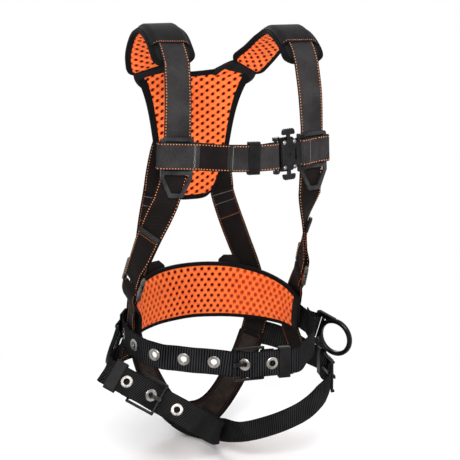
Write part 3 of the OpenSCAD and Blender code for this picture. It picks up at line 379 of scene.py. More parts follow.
def smooth(P, k=SPAN):
    """A curve through the rows, k points to a span."""
    return curve_at(P, np.arange((len(P) - 1) * k + 1) / k)


def both_sides(P):
    """Rows of one side and their mirror image, from one end to the other."""
    return np.vstack([P, flipped(P[:-1])[::-1]])


def knots(P, straight=()):
    """A frame on each row of a line, and the length that runs straight to both sides of it, by row number."""
    P = np.array(P, float)
    d = np.vstack([P[1:], P[-1:]])[:, :3] - np.vstack([P[:1], P[:-1]])[:, :3]
    return [(spot(P[i, :3], d[i], P[i, 3:6]), dict(straight).get(i, 0)) for i in range(len(P))]


def bend(a, da, b, db, t):
    """Places at shares t of the way from a to b on a curve that leaves along da and arrives along db."""
    h = t * t * (3 - 2 * t)
    return a * (1 - h) + b * h + (da * t * (1 - t) ** 2 - db * t * t * (1 - t)) * np.linalg.norm(b - a)


def through(K):
    """A line through knots, straight at each and bent between them."""
    t = (np.arange(1, SPAN) / SPAN)[:, None]
    rows = []
    for i, (F, half) in enumerate(K):
        rows.append(on(F, (-half, 0), (half, 0)) if half > 0 else on(F, (half, 0)))
        if i + 1 < len(K):
            A, B = slid(F, half, 0), slid(K[i + 1][0], -K[i + 1][1], 0)
            rows.append(np.c_[bend(A[0], A[1], B[0], B[1], t), A[2] * (1 - t) + B[2] * t])
    return np.vstack(rows)


def ways(p):
    """Directions along a line of places."""
    return unit(np.vstack([p[1:2] - p[:1], p[2:] - p[:-2], p[-1:] - p[-2:-1]]))


def lengths(p):
    """The length run so far at each place of a line."""
    return np.r_[0, np.cumsum(np.linalg.norm(np.diff(p, axis=0), axis=1))]


def between(t, run, rows):
    """Rows at lengths t of a line, from its own rows at lengths run."""
    return np.stack([np.interp(t, run, column) for column in rows.T], 1)


def refined(P, step):
    """The same line with stations at most step apart, on a curve through its own points."""
    P = np.asarray(P, float)
    p, n, d = P[:, :3], unit(P[:, 3:6]), ways(P[:, :3])
    rows = []
    for i in range(len(p) - 1):
        k = max(1, math.ceil(np.linalg.norm(p[i + 1] - p[i]) / step))
        t = (np.arange(k) / k)[:, None]
        rows.append(np.c_[bend(p[i], d[i], p[i + 1], d[i + 1], t), n[i] * (1 - t) + n[i + 1] * t])
    return np.vstack(rows + [P[-1:, :6]])


def axes(P):
    """Along, outward and across directions at each row of a line, and the length run so far."""
    d = ways(P[:, :3])
    n = square(unit(P[:, 3:6]), d)
    return d, n, np.cross(d, n), lengths(P[:, :3])


# ---- meshes

def listed(items, name, width, kind=np.float32):
    """One property of a mesh's items, a row for each."""
    flat = np.zeros(len(items) * width, kind)
    items.foreach_get(name, flat)
    return flat.reshape(-1, width)


def piece(name, points, faces, mat, uv=None, body="harness", parent=None, smooth_angle=40):
    """An object from points in millimetres; uv holds one pair in metres for each point."""
    mesh = bpy.data.meshes.new(name)
    points = np.reshape(np.asarray(points, float), (-1, 3)) * MM
    mesh.from_pydata(points.tolist(), [], [list(map(int, f)) for f in faces])
    if uv is not None:
        index = listed(mesh.loops, "vertex_index", 1, int)[:, 0]
        layer = mesh.uv_layers.new(name="web")
        layer.data.foreach_set("uv", np.reshape(uv, (-1, 2)).astype(np.float32)[index].ravel())
    mesh.validate()
    mesh.shade_smooth()
    mesh.set_sharp_from_angle(angle=math.radians(smooth_angle))
    mesh.materials.append(mat)
    obj = bpy.data.objects.new(name, mesh)
    bpy.context.scene.collection.objects.link(obj)
    if parent is not None:
        obj.parent = parent
    elif body:
        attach(obj, body)
    return obj


def tube_faces(rows, ring):
    """Quads between rows of rings, and the two end faces."""
    i, j = np.meshgrid(np.arange(rows - 1), np.arange(ring), indexing="ij")
    a, b = (i * ring + j).ravel(), (i * ring + (j + 1) % ring).ravel()
    faces = np.stack([a, b, b + ring, a + ring], 1).tolist()
    return faces + [list(range(ring - 1, -1, -1)), list(range((rows - 1) * ring, rows * ring))]


def swept(name, P, section, mat, **where):
    """A section of (across, outward) points carried along a line, and the grid of its points."""
    _, n, b, run = axes(P)
    pts = P[:, None, :3] + b[:, None] * section[:, :1] + n[:, None] * section[:, 1:]
    uv = np.dstack(np.broadcast_arrays(section[:, 0], run[:, None])) * MM
    return piece(name, pts, tube_faces(*pts.shape[:2]), mat, uv, **where), pts


LAID = {}


def strap(name, line, mat, node, width=WEB_W, thick=WEB_T, body="harness"):
    """Webbing along a line: flat faces and a rounded selvedge."""
    P = refined(np.vstack(line), STATION)
    a, h = width / 2, thick / 2
    flat = [(x, h) for x in np.linspace(-a + h, a - h, 7)]
    bow = [(a - h + h * math.cos(t), h * math.sin(t)) for t in np.radians([60, 20, -20, -60])]
    section = np.array(flat + bow + [(-x, -y) for x, y in flat + bow])
    obj = swept("webbing_" + name, P, section, mat, body=body)[0]
    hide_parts(node)
    d, n, b, run = axes(P)
    LAID[name] = SimpleNamespace(place=P[:, :3], along=d, out=n, across=b, run=run, half=a, rise=h, obj=obj)
    return obj


def painted_shade(laid, mat, test):
    """Darker webbing on a strap, as painted shade, where test(run, place, direction of the face) holds, in
    millimetres.
    """
    mesh = LAID[laid].obj.data
    mesh.materials.append(mat)
    web = mesh.uv_layers["web"].data
    for face in mesh.polygons:
        if test(web[face.loop_start].uv[1] / MM, face.center / MM, face.normal):
            face.material_index = 1


def pinched(laid, low, high, share):
    """Narrows a strap towards its top, where the fold's corners are sewn in."""
    way, foot = Vector(LAID[laid].across[0]), Vector(LAID[laid].place[0] * MM)
    for v in LAID[laid].obj.data.vertices:
        v.co -= way * (v.co - foot).dot(way) * share * float(eased((v.co.z / MM - low) / (high - low)))


def punched(obj, prisms):
    """Cuts prisms out of a piece; each is the points round its foot and its rise."""
    pts, faces = [], []
    for foot, rise in prisms:
        k, n = len(pts), len(foot)
        pts += list(foot) + list(foot + rise)
        faces += [[k + i for i in range(n)][::-1], [k + n + i for i in range(n)]]
        faces += [[k + i, k + (i + 1) % n, k + n + (i + 1) % n, k + n + i] for i in range(n)]
    tool = piece("punch", pts, faces, TAPE, body=None)
    cut = obj.modifiers.new("boolean", "BOOLEAN")
    cut.object, cut.operation, cut.solver = tool, "DIFFERENCE", "EXACT"
    bpy.context.view_layer.update()
    obj.data = bpy.data.meshes.new_from_object(obj.evaluated_get(bpy.context.evaluated_depsgraph_get()))
    obj.modifiers.clear()
    bpy.data.objects.remove(tool)


def round_hole(F, d=GROMMET_ID + 2.4, deep=9):
    """A prism that punches a grommet's hole."""
    a = np.radians(np.arange(0, 360, 15))[:, None]
    ring = (F[1] * np.cos(a) + np.cross(F[2], F[1]) * np.sin(a)) * d / 2
    return F[0] - F[2] * deep / 2 + ring, F[2] * deep


def tongue_gap(F, long=10, deep=13):
    """The slit in a folded end that lets the buckle's tongue through."""
    half = (TONGUE_W + 5) / 2
    c, e = F[0] + F[1] * BUCKLE_FIX - F[2] * deep / 2, np.cross(F[2], F[1])
    corners = ((-long, -half), (long, -half), (long, half), (-long, half))
    return np.array([c + F[1] * x + e * y for x, y in corners]), F[2] * deep


def beads(name, rows, size, mat, parent):
    """Stitches as small rounded grains; each row holds its places, directions and outward directions."""
    spots, along, out = (np.vstack(v) for v in zip(*rows))
    long, wide, high = np.array(size) / 2
    turn = np.radians([90, 18, -54, -126, 162])
    ring = [(k * long * 0.6, wide * math.cos(t), high * math.sin(t)) for k in (-1, 1) for t in turn]
    shape = np.array([(-long, 0, 0)] + ring + [(long, 0, 0)])
    pts = (spots[:, None] + along[:, None] * shape[:, :1] + np.cross(along, out)[:, None] * shape[:, 1:2]
           + out[:, None] * shape[:, 2:])
    pairs = [(1, 2), (2, 3), (3, 4), (4, 5), (5, 1)]
    one = [[0, a, b] for a, b in pairs] + [[11, b + 5, a + 5] for a, b in pairs]
    one += [[a, a + 5, b + 5, b] for a, b in pairs]
    faces = [[12 * k + v for v in f] for k in range(len(spots)) for f in one]
    flat = np.c_[np.arange(len(spots) * 12) * 0.37, np.zeros(len(spots) * 12)] * MM
    return piece(name, pts, faces, mat, flat, parent=parent, body=None, smooth_angle=80)


def sewn(name, laid, lines, pitch, size, mat, face=1, parent=True):
    """Stitches along lines of (across, along) places on a strap, on its outward (1) or inward (-1) face."""
    web = LAID[laid]
    rows = []
    for line in lines:
        line = np.asarray(line, float)
        far, hop = lengths(line), unit(np.diff(line, axis=0))
        t = np.arange(pitch / 2, far[-1], pitch)
        hop = hop[np.clip(np.searchsorted(far, t) - 1, 0, len(hop) - 1)]
        x, s = between(t, far, line).T
        p = between(s, web.run, web.place)
        d, n, b = (unit(between(s, web.run, v)) for v in (web.along, web.out, web.across))
        along = unit(b * hop[:, :1] + d * hop[:, 1:])
        rows.append((p + b * x[:, None] + n * face * web.rise, along, n * face))
    return beads(name, rows, size, mat, web.obj if parent else None)


def edge_rows(laid, end, inset=2.7):
    """Two lines along a strap's edges, short of both its ends."""
    a, last = LAID[laid].half - inset, LAID[laid].run[-1] - end
    return [[(k * a, end), (k * a, last)] for k in (-1, 1)]


def cross_row(laid, at, inset=2.7):
    """A line across a strap."""
    a = LAID[laid].half - inset
    return [(-a, at), (a, at)]


def box_and_cross(laid, first, last, inset=5):
    """A sewn box with its two diagonals."""
    a = LAID[laid].half - inset
    return [[(-a, first), (a, first), (a, last), (-a, last), (-a, first)],
            [(-a, first), (a, last)], [(a, first), (-a, last)]]


# shoulder straps
SHOULDER = {
    "left": [[120, -93, 477, 0, -0.9, 0.45], [120, -77, 499, 0, -0.68, 0.72], [121, -42, 518, 0, -0.3, 0.95],
             [125, 2, 524, 0, 0.05, 1], [125, 46, 511, 0.02, 0.45, 0.9], [114, 86, 480, 0.04, 0.75, 0.65],
             [94, 113, 451, 0.05, 0.88, 0.45]],
    "right": [[-110, -93, 482, 0, -0.9, 0.45], [-111, -77, 504, 0, -0.68, 0.72],
              [-109, -42, 525, 0, -0.3, 0.95], [-107, 2, 532, 0, 0.05, 1], [-104, 46, 519, -0.02, 0.45, 0.9],
              [-99.5, 86, 487, -0.04, 0.75, 0.65], [-88, 113, 452, -0.05, 0.88, 0.45]]}
OVER = {s: smooth(SHOULDER[s]) for s in SHOULDER}
SHOULDER_UP = SHOULDER_PAD_T / 2 + PLY_GAP + WEB_T / 2
CHEST = {"left": spot([122, -120, 335], [-0.985, -0.17, -0.04], [0.17, -0.985, 0]),
         "right": spot([-119, -120, 338], [0.985, -0.17, -0.05], [-0.17, -0.985, 0])}
ADJUST = {"right": spot([-176, -62, 124], [-0.07, 0.51, -0.857], [-0.98, -0.18, -0.03]),
          "left": spot([129, -72, 126], [0.16, 0.62, -0.76], [0.97, -0.2, 0.05])}
FRONT = {"right": [[-170.5, -84, 162, -0.95, -0.4, 0], [-157, -103, 212, -0.75, -0.66, 0]],
         "left": [[120.5, -94, 160, 0.95, -0.3, 0.1], [119, -106, 207, 0.8, -0.6, 0]]}
# along places at a torso adjuster: where its plies run side by side and meet, and its lower bar
NEAR, FAR, LOW_BAR = -14, -28, 22
RING_RUN = {"right": [[-19, -76], [-6, -36], [0, 0], [2, 38]], "left": [[3, -76], [1, -36], [0, 0], [0, 38]]}
NECK = {"right": [-113.5, -114, 432, -0.04, -0.97, 0.2], "left": [121, -114, 430, 0.04, -0.97, 0.2]}
CROSS = {
    "left": [[60, 142.5, 430, 0.02, 1, 0.1], [22, 146.6, 405, 0, 1, 0], [-16, 146.6, 372, 0, 1, 0],
             [-46, 146, 320, -0.05, 1, 0], [-60, 146, 270, -0.08, 1, 0], [-66, 146.5, 226, -0.08, 1, 0]],
    "right": [[-60, 142.5, 430, -0.02, 1, 0.1], [-22, 143.7, 405, 0, 1, 0], [16, 143.7, 372, 0, 1, 0],
              [46, 146, 320, 0.05, 1, 0], [60, 146, 270, 0.08, 1, 0], [66, 146.5, 226, 0.08, 1, 0]]}
HIP = {
    "right": [[-174, -34, 76, -0.98, -0.15, 0], [-162.5, -4, 46, -0.97, -0.05, 0.2],
              [-159.2, 12, 16, -1, 0.03, 0.05], [-159.2, 21, -16, -1, 0.06, -0.05],
              [-169, 26, -36, -0.9, 0.3, 0.1], [-182.8, 26.3, -64, -0.84, 0.54, 0.04]],
    "left": [[140, -36, 94, 0.93, -0.3, 0.2], [153, 0, 72, 0.97, -0.05, 0.25],
             [158.5, 24, 46, 0.97, 0.2, 0.15], [156.5, 36, 10, 0.94, 0.33, 0],
             [156.5, 36, -18, 0.94, 0.33, -0.05], [166, 37, -46, 0.9, 0.36, 0.1],
             [182, 40.4, -82, 0.9, 0.42, 0.1]]}
BACK_LINE = [[60.5, 149.2, 262, 0.08, 1, 0], [66.5, 149.6, 224, 0.08, 1, 0], [78, 145, 182, 0.2, 0.98, 0.05],
             [94, 134, 130, 0.45, 0.9, 0.1], [110, 121, 78, 0.6, 0.8, 0.1], [120, 114, 30, 0.64, 0.77, 0],
             [121, 113, -12, 0.64, 0.77, 0], [114, 116, -48, 0.6, 0.78, -0.15]]


def shoulder_line(side):
    """From the tail round the torso adjuster, up past the chest ring, over the shoulder and down the back."""
    F, R = ADJUST[side], CHEST[side]
    level = unit([R[1][0], R[1][1], 0])
    run = [np.r_[R[0] + level * s + [0, 0, z], R[2]] for s, z in RING_RUN[side]]
    ridge = lifted(OVER[side], SHOULDER_UP)
    low = np.vstack([smooth(FRONT[side] + [run[0]]), run[1:3], smooth([run[3], NECK[side], ridge[0]])])
    down = smooth(np.vstack([ridge[-1 - SPAN:-SPAN], ridge[-1:], CROSS[side]]))[SPAN:]
    tail = lifted(low[1:SPAN + 1], PLY + 0.8)
    rest = np.vstack([on(F, (NEAR, -LOOP_R), (FAR, 0.4 - LOOP_R)), low[:-1], ridge[:-1], down])
    return [tail[::-1], on(F, (FAR, LOOP_R - 0.4), (NEAR, LOOP_R)), arc(F), turned(rest)]


def hip_line(side):
    """From the torso adjuster's lower bar down past the belt to the leg strap."""
    F = ADJUST[side]
    return [turned(on(F, (LOW_BAR + 22, -LOOP_R - 0.2), (LOW_BAR + 12, -LOOP_R))),
            arc(back_from(F, LOW_BAR))[::-1], on(F, (LOW_BAR - NEAR, LOOP_R - 2)), smooth(HIP[side])]


# belt
BELT_TILT = 0.16


def belt_row(x, y, nx, ny):
    """A row of the belt, which rises towards the back."""
    return [x, y, BELT_TILT * y, nx, ny, 0]


BELT_BUCKLE = spot([-7, -138, -BELT_TILT * 138], [0.995, -0.1, 0], [-0.1, -0.995, 0])
BELT_TIP = [belt_row(*r) for r in (
    (34, 146.4, 0.1, 1), (0, 147.2, 0, 1), (-40, 143.4, -0.2, 0.98), (-80, 130, -0.42, 0.9),
    (-122, 102, -0.65, 0.76), (-152, 68, -0.87, 0.5), (-165, 28, -0.98, 0.18), (-163, -20, -0.97, -0.2),
    (-142, -65, -0.75, -0.66), (-100, -94, -0.5, -0.87), (-54, -117, -0.42, -0.9))]
BELT_BACK = [belt_row(*r) for r in (
    (114, -121, 0.55, -0.83), (148, -85, 0.82, -0.57), (168, -20, 0.99, -0.14), (169.5, 12, 1, 0.05),
    (165.5, 36, 0.96, 0.28), (153, 66, 0.87, 0.5), (122, 102, 0.65, 0.76), (80, 130, 0.42, 0.9),
    (40, 142.4, 0.15, 0.98), (0, 144.2, 0, 1), (-34, 141.4, -0.14, 0.99))]
# along (S) and outward (Q) places at a buckle: where the strap comes under the free bar, rises through it to
# the tongue, passes over the fixed bar and ends, and where its keeper sits
BUCKLE_FREE, FREE_Q = -16, -1.4
BUCKLE_FIX = BUCKLE_FREE + BUCKLE_LEN
UNDER_S, UNDER_Q = -17, FREE_Q - BAR_D / 2 - PLY_GAP - WEB_T / 2
RISE_S = GROMMET_OD / 2 - 1.4
RISE_Q, SEAT_Q = RISE_S * 0.72, 1.2
OVER_Q, LAP_Q = LOOP_R + PLY + 0.6, LOOP_R - 1.2
TIP_Q, TIP_S = LAP_Q + WEB_T + 1.8, BUCKLE_FIX + 14
KEEP_S = TIP_S + GROMMET_OD / 2 + 1 + KEEPER_LEN / 2
# half the length that runs straight at a grommet, and the belt's row at the left side ring
FLAT_HALF, SIDE_ROW = GROMMET_OD / 2 + 1, 2


def buckle_run(F):
    """The strap's run up through a buckle, over it and on into its keeper."""
    return on(F, (-RISE_S, SEAT_Q - RISE_Q), (RISE_S, SEAT_Q + RISE_Q), (RISE_S + 7, OVER_Q + 0.4),
              (BUCKLE_FIX, OVER_Q), (BUCKLE_FIX + 2.5, TIP_Q + 0.2), (BUCKLE_FIX + 4, TIP_Q),
              (KEEP_S + KEEPER_LEN / 2 + 6, TIP_Q))


def buckle_hole(F):
    """The frame of the grommet that a buckle's tongue lies in."""
    return spot(F[0] + F[2] * SEAT_Q, F[1] * RISE_S + F[2] * RISE_Q, F[2])


def buckle_loop(F, inner):
    """The folded end round a buckle's fixed bar; its inner ply is inner long."""
    return [turned(on(F, (BUCKLE_FIX + inner, 0.8 - LOOP_R), (BUCKLE_FIX + 10, 0.4 - LOOP_R))),
            arc(back_from(F, BUCKLE_FIX))[::-1], on(F, (BUCKLE_FIX + 9, LAP_Q + 0.4))]


def lapped(F):
    """The knot where a folded end's two plies lie on each other."""
    return slid(F, BUCKLE_FIX + 35, LAP_Q), 19


BELT_UNDER = slid(BELT_BUCKLE, UNDER_S, UNDER_Q)
BELT_ROWS = BELT_TIP + [np.r_[BELT_UNDER[0], BELT_BUCKLE[2]].tolist()]
# the rows of the belt that carry a grommet
BELT_SET = range(6, len(BELT_TIP))
BELT_KNOTS = knots(BELT_ROWS, dict.fromkeys(BELT_SET, FLAT_HALF))[:-1]
BELT_HOLES = [BELT_KNOTS[i][0] for i in BELT_SET]
BELT_HOLES += [buckle_hole(BELT_BUCKLE), slid(BELT_BUCKLE, TIP_S, TIP_Q)]


def belt_right_line():
    """From the wearer's back round the right hip and through the buckle."""
    return [through(BELT_KNOTS + [(BELT_UNDER, 0)]), buckle_run(BELT_BUCKLE)]


def belt_left_line():
    """From the buckle round the left hip, straight at the side ring, to the wearer's back."""
    return buckle_loop(BELT_BUCKLE, 20) + [through([lapped(BELT_BUCKLE)] + knots(BELT_BACK, {SIDE_ROW: 14}))]


# legs
LEG_BUCKLE = {"right": spot([-157, -89, -74], [-0.68, 0.625, 0.375], [-0.41, -0.74, 0.46]),
              "left": spot([183, -80, -79], [0.15, 0.98, 0.05], [0.98, -0.15, 0.02])}
LEG_INNER = [[34, 118.6, -195, -0.15, 0.85, -0.5], [20, 99, -203, -0.6, 0.75, -0.3],
             [9, 60, -200, -1, 0.15, -0.1], [6, 12, -190, -1, 0, -0.1], [8, -28, -179, -0.92, -0.35, -0.1]]
LEG_LINE = {
    "right": flipped(LEG_INNER).tolist() + [[-22, -52, -172, 0.1, -1, -0.1],
                                            [-60, -82, -142, -0.3, -0.9, 0.2]],
    "left": LEG_INNER + [[22, -72, -168, -0.1, -1, -0.1], [47, -92, -158, 0.05, -0.98, -0.15],
                         [84, -110, -142, 0.1, -0.97, -0.15], [118, -119, -124, 0.2, -0.96, -0.1],
                         [147, -118, -101, 0.5, -0.85, 0]]}
LEG_HIP = {
    "right": [[-204, -4, -43, -0.95, 0.25, 0.05], [-186, 28, -45, -0.84, 0.54, 0],
              [-162, 62, -46, -0.78, 0.62, 0], [-144.5, 97.5, -46, -0.7, 0.71, 0],
              [-118, 116.8, -46, -0.6, 0.78, -0.13]],
    "left": [[193, 24, -72, 0.96, 0.26, 0], [180, 54, -64, 0.84, 0.54, 0], [160, 82, -54, 0.74, 0.66, 0],
             [138, 103.6, -48, 0.66, 0.74, -0.05], [118, 117, -46, 0.6, 0.78, -0.12]]}
# a grommet before the buckle, on the right only, with the strap straight on both sides of it
LEG_LEAD, LEG_HOLE_S = {"right": FLAT_HALF, "left": 0}, -50


def leg_holes(side):
    """The frames of a leg strap's grommets."""
    F = LEG_BUCKLE[side]
    before = [slid(F, LEG_HOLE_S, UNDER_Q)] if LEG_LEAD[side] else []
    return [buckle_hole(F), slid(F, TIP_S, TIP_Q)] + before


def leg_strap_line(side):
    """From the seat sling round the inside of the thigh and through the buckle."""
    F, line, lead = LEG_BUCKLE[side], LEG_LINE[side], LEG_LEAD[side]
    under, hole = slid(F, UNDER_S, UNDER_Q), slid(F, LEG_HOLE_S, UNDER_Q)
    rows = line + [np.r_[(hole if lead else under)[0], F[2]].tolist()]
    K = knots(rows)[:-1] + ([(hole, lead)] if lead else [])
    return [through(K + [(under, 0)]), buckle_run(F)]


def leg_buckle_line(side):
    """From a leg buckle round the outside of the thigh to the back strap's foot."""
    F = LEG_BUCKLE[side]
    return buckle_loop(F, 16) + [through([lapped(F)] + knots(LEG_HIP[side]))]


# chest strap
TONGUE_BAR, QUICK_HALF = 26, 27
QUICK_OUT = CHEST_FRONT + LOOP_R
QUICK = back_from(slid(CHEST["left"], TONGUE_BAR + QUICK_HALF, QUICK_OUT))
CHEST_RUN = [[-54, -141.5, 333.6, -0.16, -0.98, 0], [-25, -145.6, 332, -0.08, -1, 0],
             [3, -147.6, 331, 0.04, -1, 0]]


def ring_fold(F, *inner):
    """The end sewn round a chest ring; inner holds (along, outward) places of its inner ply's tail."""
    return [turned(on(F, *inner, (RING_HALF - 2, -PLY), (-RING_HALF + 4, -PLY))),
            arc(back_from(F), RING_HALF + 0.5, CHEST_MID, CHEST_LOOP_R, 180, 0, 1, 10),
            on(F, (-RING_HALF + 4, CHEST_FRONT))]


def chest_right_line():
    """From the right chest ring through the keeper, round the chest buckle's bar and back."""
    F, bar = CHEST["right"], -QUICK_HALF
    run = smooth(np.vstack([on(F, (40, CHEST_FRONT)), CHEST_RUN, on(QUICK, (bar - 24, -LOOP_R + 1.4))]))
    back = CHEST_FRONT - PLY
    return ring_fold(F, (60, back - 0.3), (46, back - 0.6), (RING_HALF + 6, -PLY + 1.2)) + [
        run, on(QUICK, (bar - 10, -LOOP_R)), arc(QUICK, bar, 0, LOOP_R, 180, 0, -1),
        turned(on(QUICK, (bar - 10, LOOP_R))), turned(lifted(run[8:16], PLY)[::-1])]


def chest_left_line():
    """From the left chest ring round the buckle tongue's bar and back."""
    F, bar, front = CHEST["left"], TONGUE_BAR, CHEST_FRONT + PLY
    return ring_fold(F, (RING_HALF + 4, -PLY)) + [
        on(F, (bar - 6, CHEST_FRONT)), arc(F, bar, QUICK_OUT, LOOP_R, 180, 0, -1),
        turned(on(F, (bar - 10, QUICK_OUT + LOOP_R - 0.6), (bar - 20, front + 0.3), (bar - 32, front)))]


# side ring loops and belt loops
SIDE_LEFT = knots(BELT_BACK)[SIDE_ROW][0]
SIDE_RIGHT = spot(BELT_TIP[5][:3], [0, 0, -1], BELT_TIP[5][3:6])
BAR_UP = WEB_T / 2 + PLY_GAP + RING_T / 2
BAR_RIGHT = slid(SIDE_RIGHT, 0, BAR_UP + 0.3)
LEFT_TURN, LEFT_DROOP = math.radians(-46), math.radians(14)


def left_bar():
    """The frame of the left side ring's bar: turned about the belt, and drooping."""
    (o, d, n), up = SIDE_LEFT, np.cross(SIDE_LEFT[2], SIDE_LEFT[1])
    c, s = math.cos(LEFT_TURN), math.sin(LEFT_TURN)
    out = (n * c + d * s) * math.cos(LEFT_DROOP) - up * math.sin(LEFT_DROOP)
    m = d * c - n * s
    return np.array([o + n * (BAR_UP + 6), out * s + m * c, out * c - m * s])


def ring_loop_line(F, G, spread, lead):
    """A loop on the frame F over a side ring's bar at G; lead holds (along, outward) places of its feet."""
    a = np.radians(np.linspace(-spread, spread, 13))[:, None]
    v = G[1] * np.sin(a) + G[2] * np.cos(a)
    r = RING_T / 2 + BAR_CLEAR + WEB_T / 2
    return [on(F, *((-s, q) for s, q in lead)), np.c_[G[0] + v * r, v], on(F, *lead[::-1])]


BELT_LOOP = [[71.6, 124.3, 30, -0.42, -0.9, 0], [71.6, 124.3, 60, -0.42, -0.9, 0],
             [70.8, 124.8, 90, -0.42, -0.9, 0.1], [71.5, 126.6, 99, -0.3, -0.6, 0.7], [73, 130, 103, 0, 0, 1],
             [74.5, 133.2, 99, 0.3, 0.6, 0.7], [75.6, 135.7, 78, 0.42, 0.9, 0],
             [75.8, 136.2, 20, 0.42, 0.9, 0], [75.2, 134.8, -6, 0.42, 0.9, 0]]

for side in SIDES:
    mirrored = np.array if side == "left" else flipped
    strap("shoulder_" + side, shoulder_line(side), WEB_GREY, "shoulder_strap_" + side)
    # the hip and back straps and the belt loops take the charcoal webbing, partly as painted shade
    strap("hip_" + side, hip_line(side), WEB_DARK, "hip_strap_" + side)
    strap("back_" + side, mirrored(smooth(BACK_LINE)), WEB_DARK, "back_strap_" + side)
    leg = strap("leg_" + side, leg_strap_line(side), WEB_FINE, "leg_strap_" + side)
    punched(leg, [round_hole(F) for F in leg_holes(side)])
    leg = strap("leg_buckle_" + side, leg_buckle_line(side), WEB_FINE, "leg_buckle_strap_" + side)
    punched(leg, [tongue_gap(LEG_BUCKLE[side])])
    strap("belt_loop_" + side, mirrored(BELT_LOOP), WEB_DARK, "belt_loop_" + side, width=40, thick=2)
    pinched("belt_loop_" + side, 93, 103.5, 0.42)
    # painted shade: below the chest rings, and on the inner face behind, the shoulder strap takes the
    # charcoal webbing
    painted_shade("shoulder_" + side, WEB_DARK, lambda run, at, way: at.z < 322 if at.y < 60 else way.y < -0.2)
belt = strap("belt_right", belt_right_line(), WEB_BLACK, "belt_right")
punched(belt, [round_hole(F) for F in BELT_HOLES])
belt = strap("belt_left", belt_left_line(), WEB_BLACK, "belt_left")
punched(belt, [tongue_gap(BELT_BUCKLE)])
strap("chest_left", chest_left_line(), WEB_GREY, "chest_strap_left")


def with_chest(obj):
    """Bakes the placing of a piece of the chest strap, between the harness and the buckle that slides, into
    its mesh.
    """
    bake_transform(obj)


with_chest(strap("chest_right", chest_right_line(), WEB_GREY, "chest_strap_right", body=None))
for side, F, G, spread, lead in (
        ("right", SIDE_RIGHT, BAR_RIGHT, 76, [(22, PLY - 0.2), (15, PLY), (9.5, PLY + 1)]),
        ("left", SIDE_LEFT, left_bar(), 62, [(30, PLY + 0.6), (22, PLY + 0.4), (15, PLY + 1)])):
    strap("side_loop_" + side, ring_loop_line(F, G, spread, lead), WEB_BLACK, "side_ring_loop_" + side)
# painted shadow: the chest strap's end beyond the keeper takes the charcoal webbing
painted_shade("chest_right", WEB_DARK, lambda run, at, way: 166 < run < 214)


# ---- sewing: each thread's grain, as length, width and height, is half as thick again as real thread and
# spaced wider, so that the rows show

GRAIN, PITCH = (2.2, 1.8, 1.1), 4.8
TACK, TACK_PITCH, BOX_PITCH, ROW_PITCH = (2.2, 1.0, 0.8), 3, 3.4, 3.8
FACES = {1: "_out", -1: "_in"}
for side in SIDES:
    # the hip and back straps' thread is a darker copy of the tan: painted shade
    for laid, thread in (("shoulder_" + side, THREAD), ("hip_" + side, SHADED_THREAD), ("back_" + side, SHADED_THREAD)):
        for face, end in FACES.items():
            sewn("thread_" + laid + end, laid, edge_rows(laid, 4), PITCH, GRAIN, thread, face)
for face, end in FACES.items():
    sewn("thread_chest_left" + end, "chest_left", edge_rows("chest_left", 3), PITCH, GRAIN, THREAD, face)
    with_chest(sewn("thread_chest_right" + end, "chest_right", edge_rows("chest_right", 3), PITCH, GRAIN,
                    THREAD, face, False))


def zigzag(laid, at, half=1.4, inset=4, turns=25):
    """A bar tack: a close zigzag across a strap."""
    a = LAID[laid].half - inset
    return [np.c_[np.linspace(-a, a, turns), at + half * (-1) ** np.arange(turns)]]


def hem(name, laid, first, last, thick):
    """The end of a strap rolled back on itself: a short fat fold on the strap's face."""
    web, at = LAID[laid], np.linspace(first, last, 4)
    n = between(at, web.run, web.out)
    rows = np.c_[between(at, web.run, web.place) + n * (web.rise + thick / 2), n]
    d, n, b, _ = axes(rows)
    mid, long, a = (rows[1, :3] + rows[2, :3]) / 2, (last - first) / 2, web.half
    t = np.radians(np.arange(0, 360, 30))
    section = d[1] * long * np.cos(t)[:, None] + n[1] * thick / 2 * np.sin(t)[:, None]
    x = np.r_[-a, -a + 0.8, np.linspace(-a + 3, a - 3, 9), a - 0.8, a]
    fat = np.r_[0.75, 0.95, np.ones(9), 0.95, 0.75]
    pts = mid + b[1] * x[:, None, None] + section * fat[:, None, None]
    uv = np.dstack(np.broadcast_arrays(x[:, None], t * long)) * MM
    piece(name, pts, tube_faces(len(x), len(t)), WEB_GREY, uv, parent=web.obj)


with_chest(sewn("tack_chest_right", "chest_right", zigzag("chest_right", 161), 2.8, TACK, PALE, parent=False))
with_chest(sewn("tack_chest_tail", "chest_right", [cross_row("chest_right", 392)], TACK_PITCH, TACK, PALE,
                -1, False))
sewn("tack_chest_left", "chest_left", [cross_row("chest_left", 153)], TACK_PITCH, TACK, PALE, -1)
for side in SIDES:
    back, shoulder, leg = "back_" + side, "shoulder_" + side, "leg_buckle_" + side
    sewn("tack_back_in_" + side, back, [cross_row(back, 45), cross_row(back, 62)], TACK_PITCH, TACK, PALE, -1)
    sewn("thread_back_hem_" + side, back, [cross_row(back, 90)], ROW_PITCH, GRAIN, SHADED_THREAD, -1)
    sewn("tack_back_out_" + side, back, box_and_cross(back, 6, 46), BOX_PITCH, TACK, RUST)
    sewn("tack_back_foot_" + side, back, box_and_cross(back, 282, 316), BOX_PITCH, TACK, RUST)
    hem("hem_shoulder_" + side, shoulder, 0.5, 9.5, 4.2)
    sewn("thread_tail_" + side, shoulder, [cross_row(shoulder, 13)], ROW_PITCH, GRAIN, SHADED_THREAD)
    sewn("tack_leg_buckle_" + side, leg, box_and_cross(leg, 42, 66), BOX_PITCH, TACK, RUST)


# ---- pads: an inner face of mesh, an outer face of cloth and a tape bound round the edge

